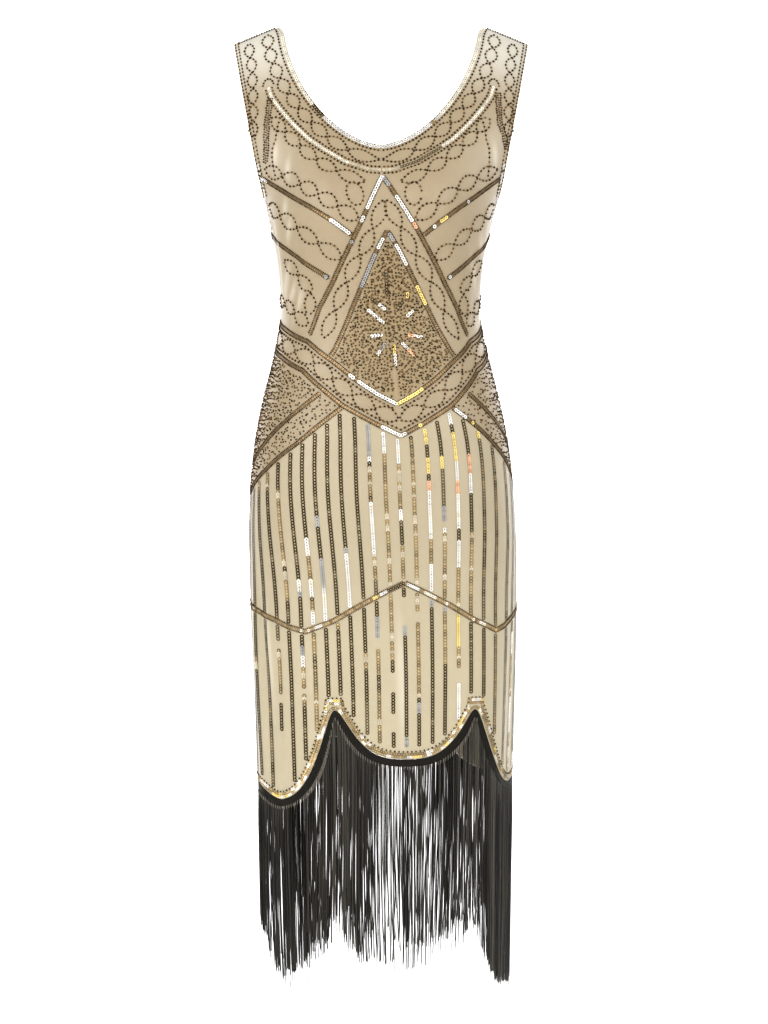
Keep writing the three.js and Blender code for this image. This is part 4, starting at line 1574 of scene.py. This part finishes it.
def floor_finish(shade):
    """Plain white paper, barely uneven, and clear from behind so that the back can be viewed."""
    behind = shade.node("ShaderNodeNewGeometry", {}, {}, "Backfacing")
    return {
        "Alpha": 1 - behind,
        "Base Color": shade.noise(1.5).blend((0.93, 0.93, 0.93, 1), (0.95, 0.95, 0.95, 1)),
        "Roughness": 0.9,
    }


# Stage


# The floor's sweep: how far it lies below the dress and reaches to the front, to the back and sideways,
# the radius of its bend and the height of its wall.
SWEEP = {"below": 200, "front": 6000, "back": 3000, "side": 9000, "radius": 1500, "wall": 7000}
SENSOR_HEIGHT = 36
SURROUND_STRENGTH = 0.7


def make_stage():
    """A pale floor that sweeps up behind in a quarter circle, as one profile carried sideways."""
    floor = CAD_BOX[0][2] / MM - SWEEP["below"]
    radius = SWEEP["radius"]
    angles = np.radians(np.linspace(0, 90, 24))
    bend = SWEEP["back"] + radius * np.sin(angles)
    depth = np.concatenate([[-SWEEP["front"]], bend, [SWEEP["back"] + radius]])
    height = floor + np.concatenate([[0], radius * (1 - np.cos(angles)), [SWEEP["wall"]]])
    sides = np.array([-SWEEP["side"], SWEEP["side"]])
    points = np.stack(
        [
            np.repeat(sides[None], len(depth), axis=0),
            np.repeat(depth[:, None], 2, axis=1),
            np.repeat(height[:, None], 2, axis=1),
        ],
        axis=-1,
    ).reshape(-1, 3)
    mesh = bpy.data.meshes.new("floor")
    mesh.from_pydata((points * MM).tolist(), [], grid_faces(len(depth), 2).tolist())
    mesh.polygons.foreach_set("use_smooth", np.full(len(mesh.polygons), True))
    mesh.materials.append(finish("floor_paper", floor_finish))
    sweep = bpy.data.objects.new("floor", mesh)
    bpy.context.collection.objects.link(sweep)


CAMERA_PLACE = np.array((0.004, -3.5, -0.51))
CAMERA_AIM = np.array((0.004, 0.0, -0.6385))
FRAME_HEIGHT = 1.3815


def aim(thing, place, target):
    """Set a camera or light down at a place, facing a target, its own up kept upright."""
    forward = unit(np.array(target, float) - place)
    right = unit(np.cross(forward, (0, 0, 1)))
    up = np.cross(right, forward)
    turned = np.eye(4)
    turned[:3, 0] = right
    turned[:3, 1] = up
    turned[:3, 2] = -forward
    turned[:3, 3] = place
    thing.matrix_world = Matrix(turned.tolist())


def make_camera():
    """The photograph's view: a long lens a little above the middle, aimed slightly down."""
    camera = bpy.data.cameras.new("camera")
    camera.sensor_fit = "VERTICAL"
    camera.sensor_height = SENSOR_HEIGHT
    camera.lens = SENSOR_HEIGHT * np.linalg.norm(CAMERA_AIM - CAMERA_PLACE) / FRAME_HEIGHT
    viewer = bpy.data.objects.new("camera", camera)
    bpy.context.collection.objects.link(viewer)
    aim(viewer, CAMERA_PLACE, CAMERA_AIM)
    bpy.context.scene.camera = viewer
    bpy.context.scene.view_settings.view_transform = "Standard"


DRESS = (0, 0, -0.6)
WALL = (0, 4.5, -0.4)
LIGHTS = [
    {"name": "key", "place": (-2.0, -2.7, 0.5), "aim": DRESS, "size": 1.5, "power": 92},
    {"name": "fill", "place": (2.3, -2.5, 0.8), "aim": DRESS, "size": 1.8, "power": 66},
    {"name": "back", "place": (0.6, 2.2, 1.4), "aim": DRESS, "size": 1.6, "power": 30},
    {"name": "wall_left", "place": (-2.6, 2.2, 0.6), "aim": WALL, "size": 1.6, "power": 150},
    {"name": "wall_right", "place": (2.6, 2.2, 0.6), "aim": WALL, "size": 1.6, "power": 150},
]


def make_lights():
    """Large soft lamps and an even white surround."""
    for row in LIGHTS:
        lamp = bpy.data.lights.new(row["name"], "AREA")
        lamp.size = row["size"]
        lamp.energy = row["power"]
        holder = bpy.data.objects.new(row["name"], lamp)
        bpy.context.collection.objects.link(holder)
        aim(holder, np.array(row["place"]), row["aim"])
    world = bpy.data.worlds.new("surround")
    world.use_nodes = True
    surround = world.node_tree.nodes["Background"]
    surround.inputs["Color"].default_value = (1, 1, 1, 1)
    surround.inputs["Strength"].default_value = SURROUND_STRENGTH
    bpy.context.scene.world = world


def make_dress():
    """Both panels with their beadwork and fringe."""
    materials = {
        "cloth": finish("beige_net", cloth_finish),
        "sequins": finish("sequins", sequin_finish),
        "beads": finish("glass_beads", bead_finish),
        "threads": finish("tan_thread", thread_finish),
        "fringe": finish("black_silk", fringe_finish),
        "tape": finish("black_braid", tape_finish),
        "stitches": finish("pale_stitches", stitch_finish),
    }
    for panel in PANELS:
        cloth = cloth_piece(panel, materials["cloth"])
        trim = bead_panel(panel, materials)
        trim.append(fringe_piece(panel, materials["fringe"]))
        trim.append(tape_piece(panel, materials["tape"]))
        trim.append(tape_stitches(panel, materials["stitches"]))


make_camera()
make_dress()
make_stage()
make_lights()
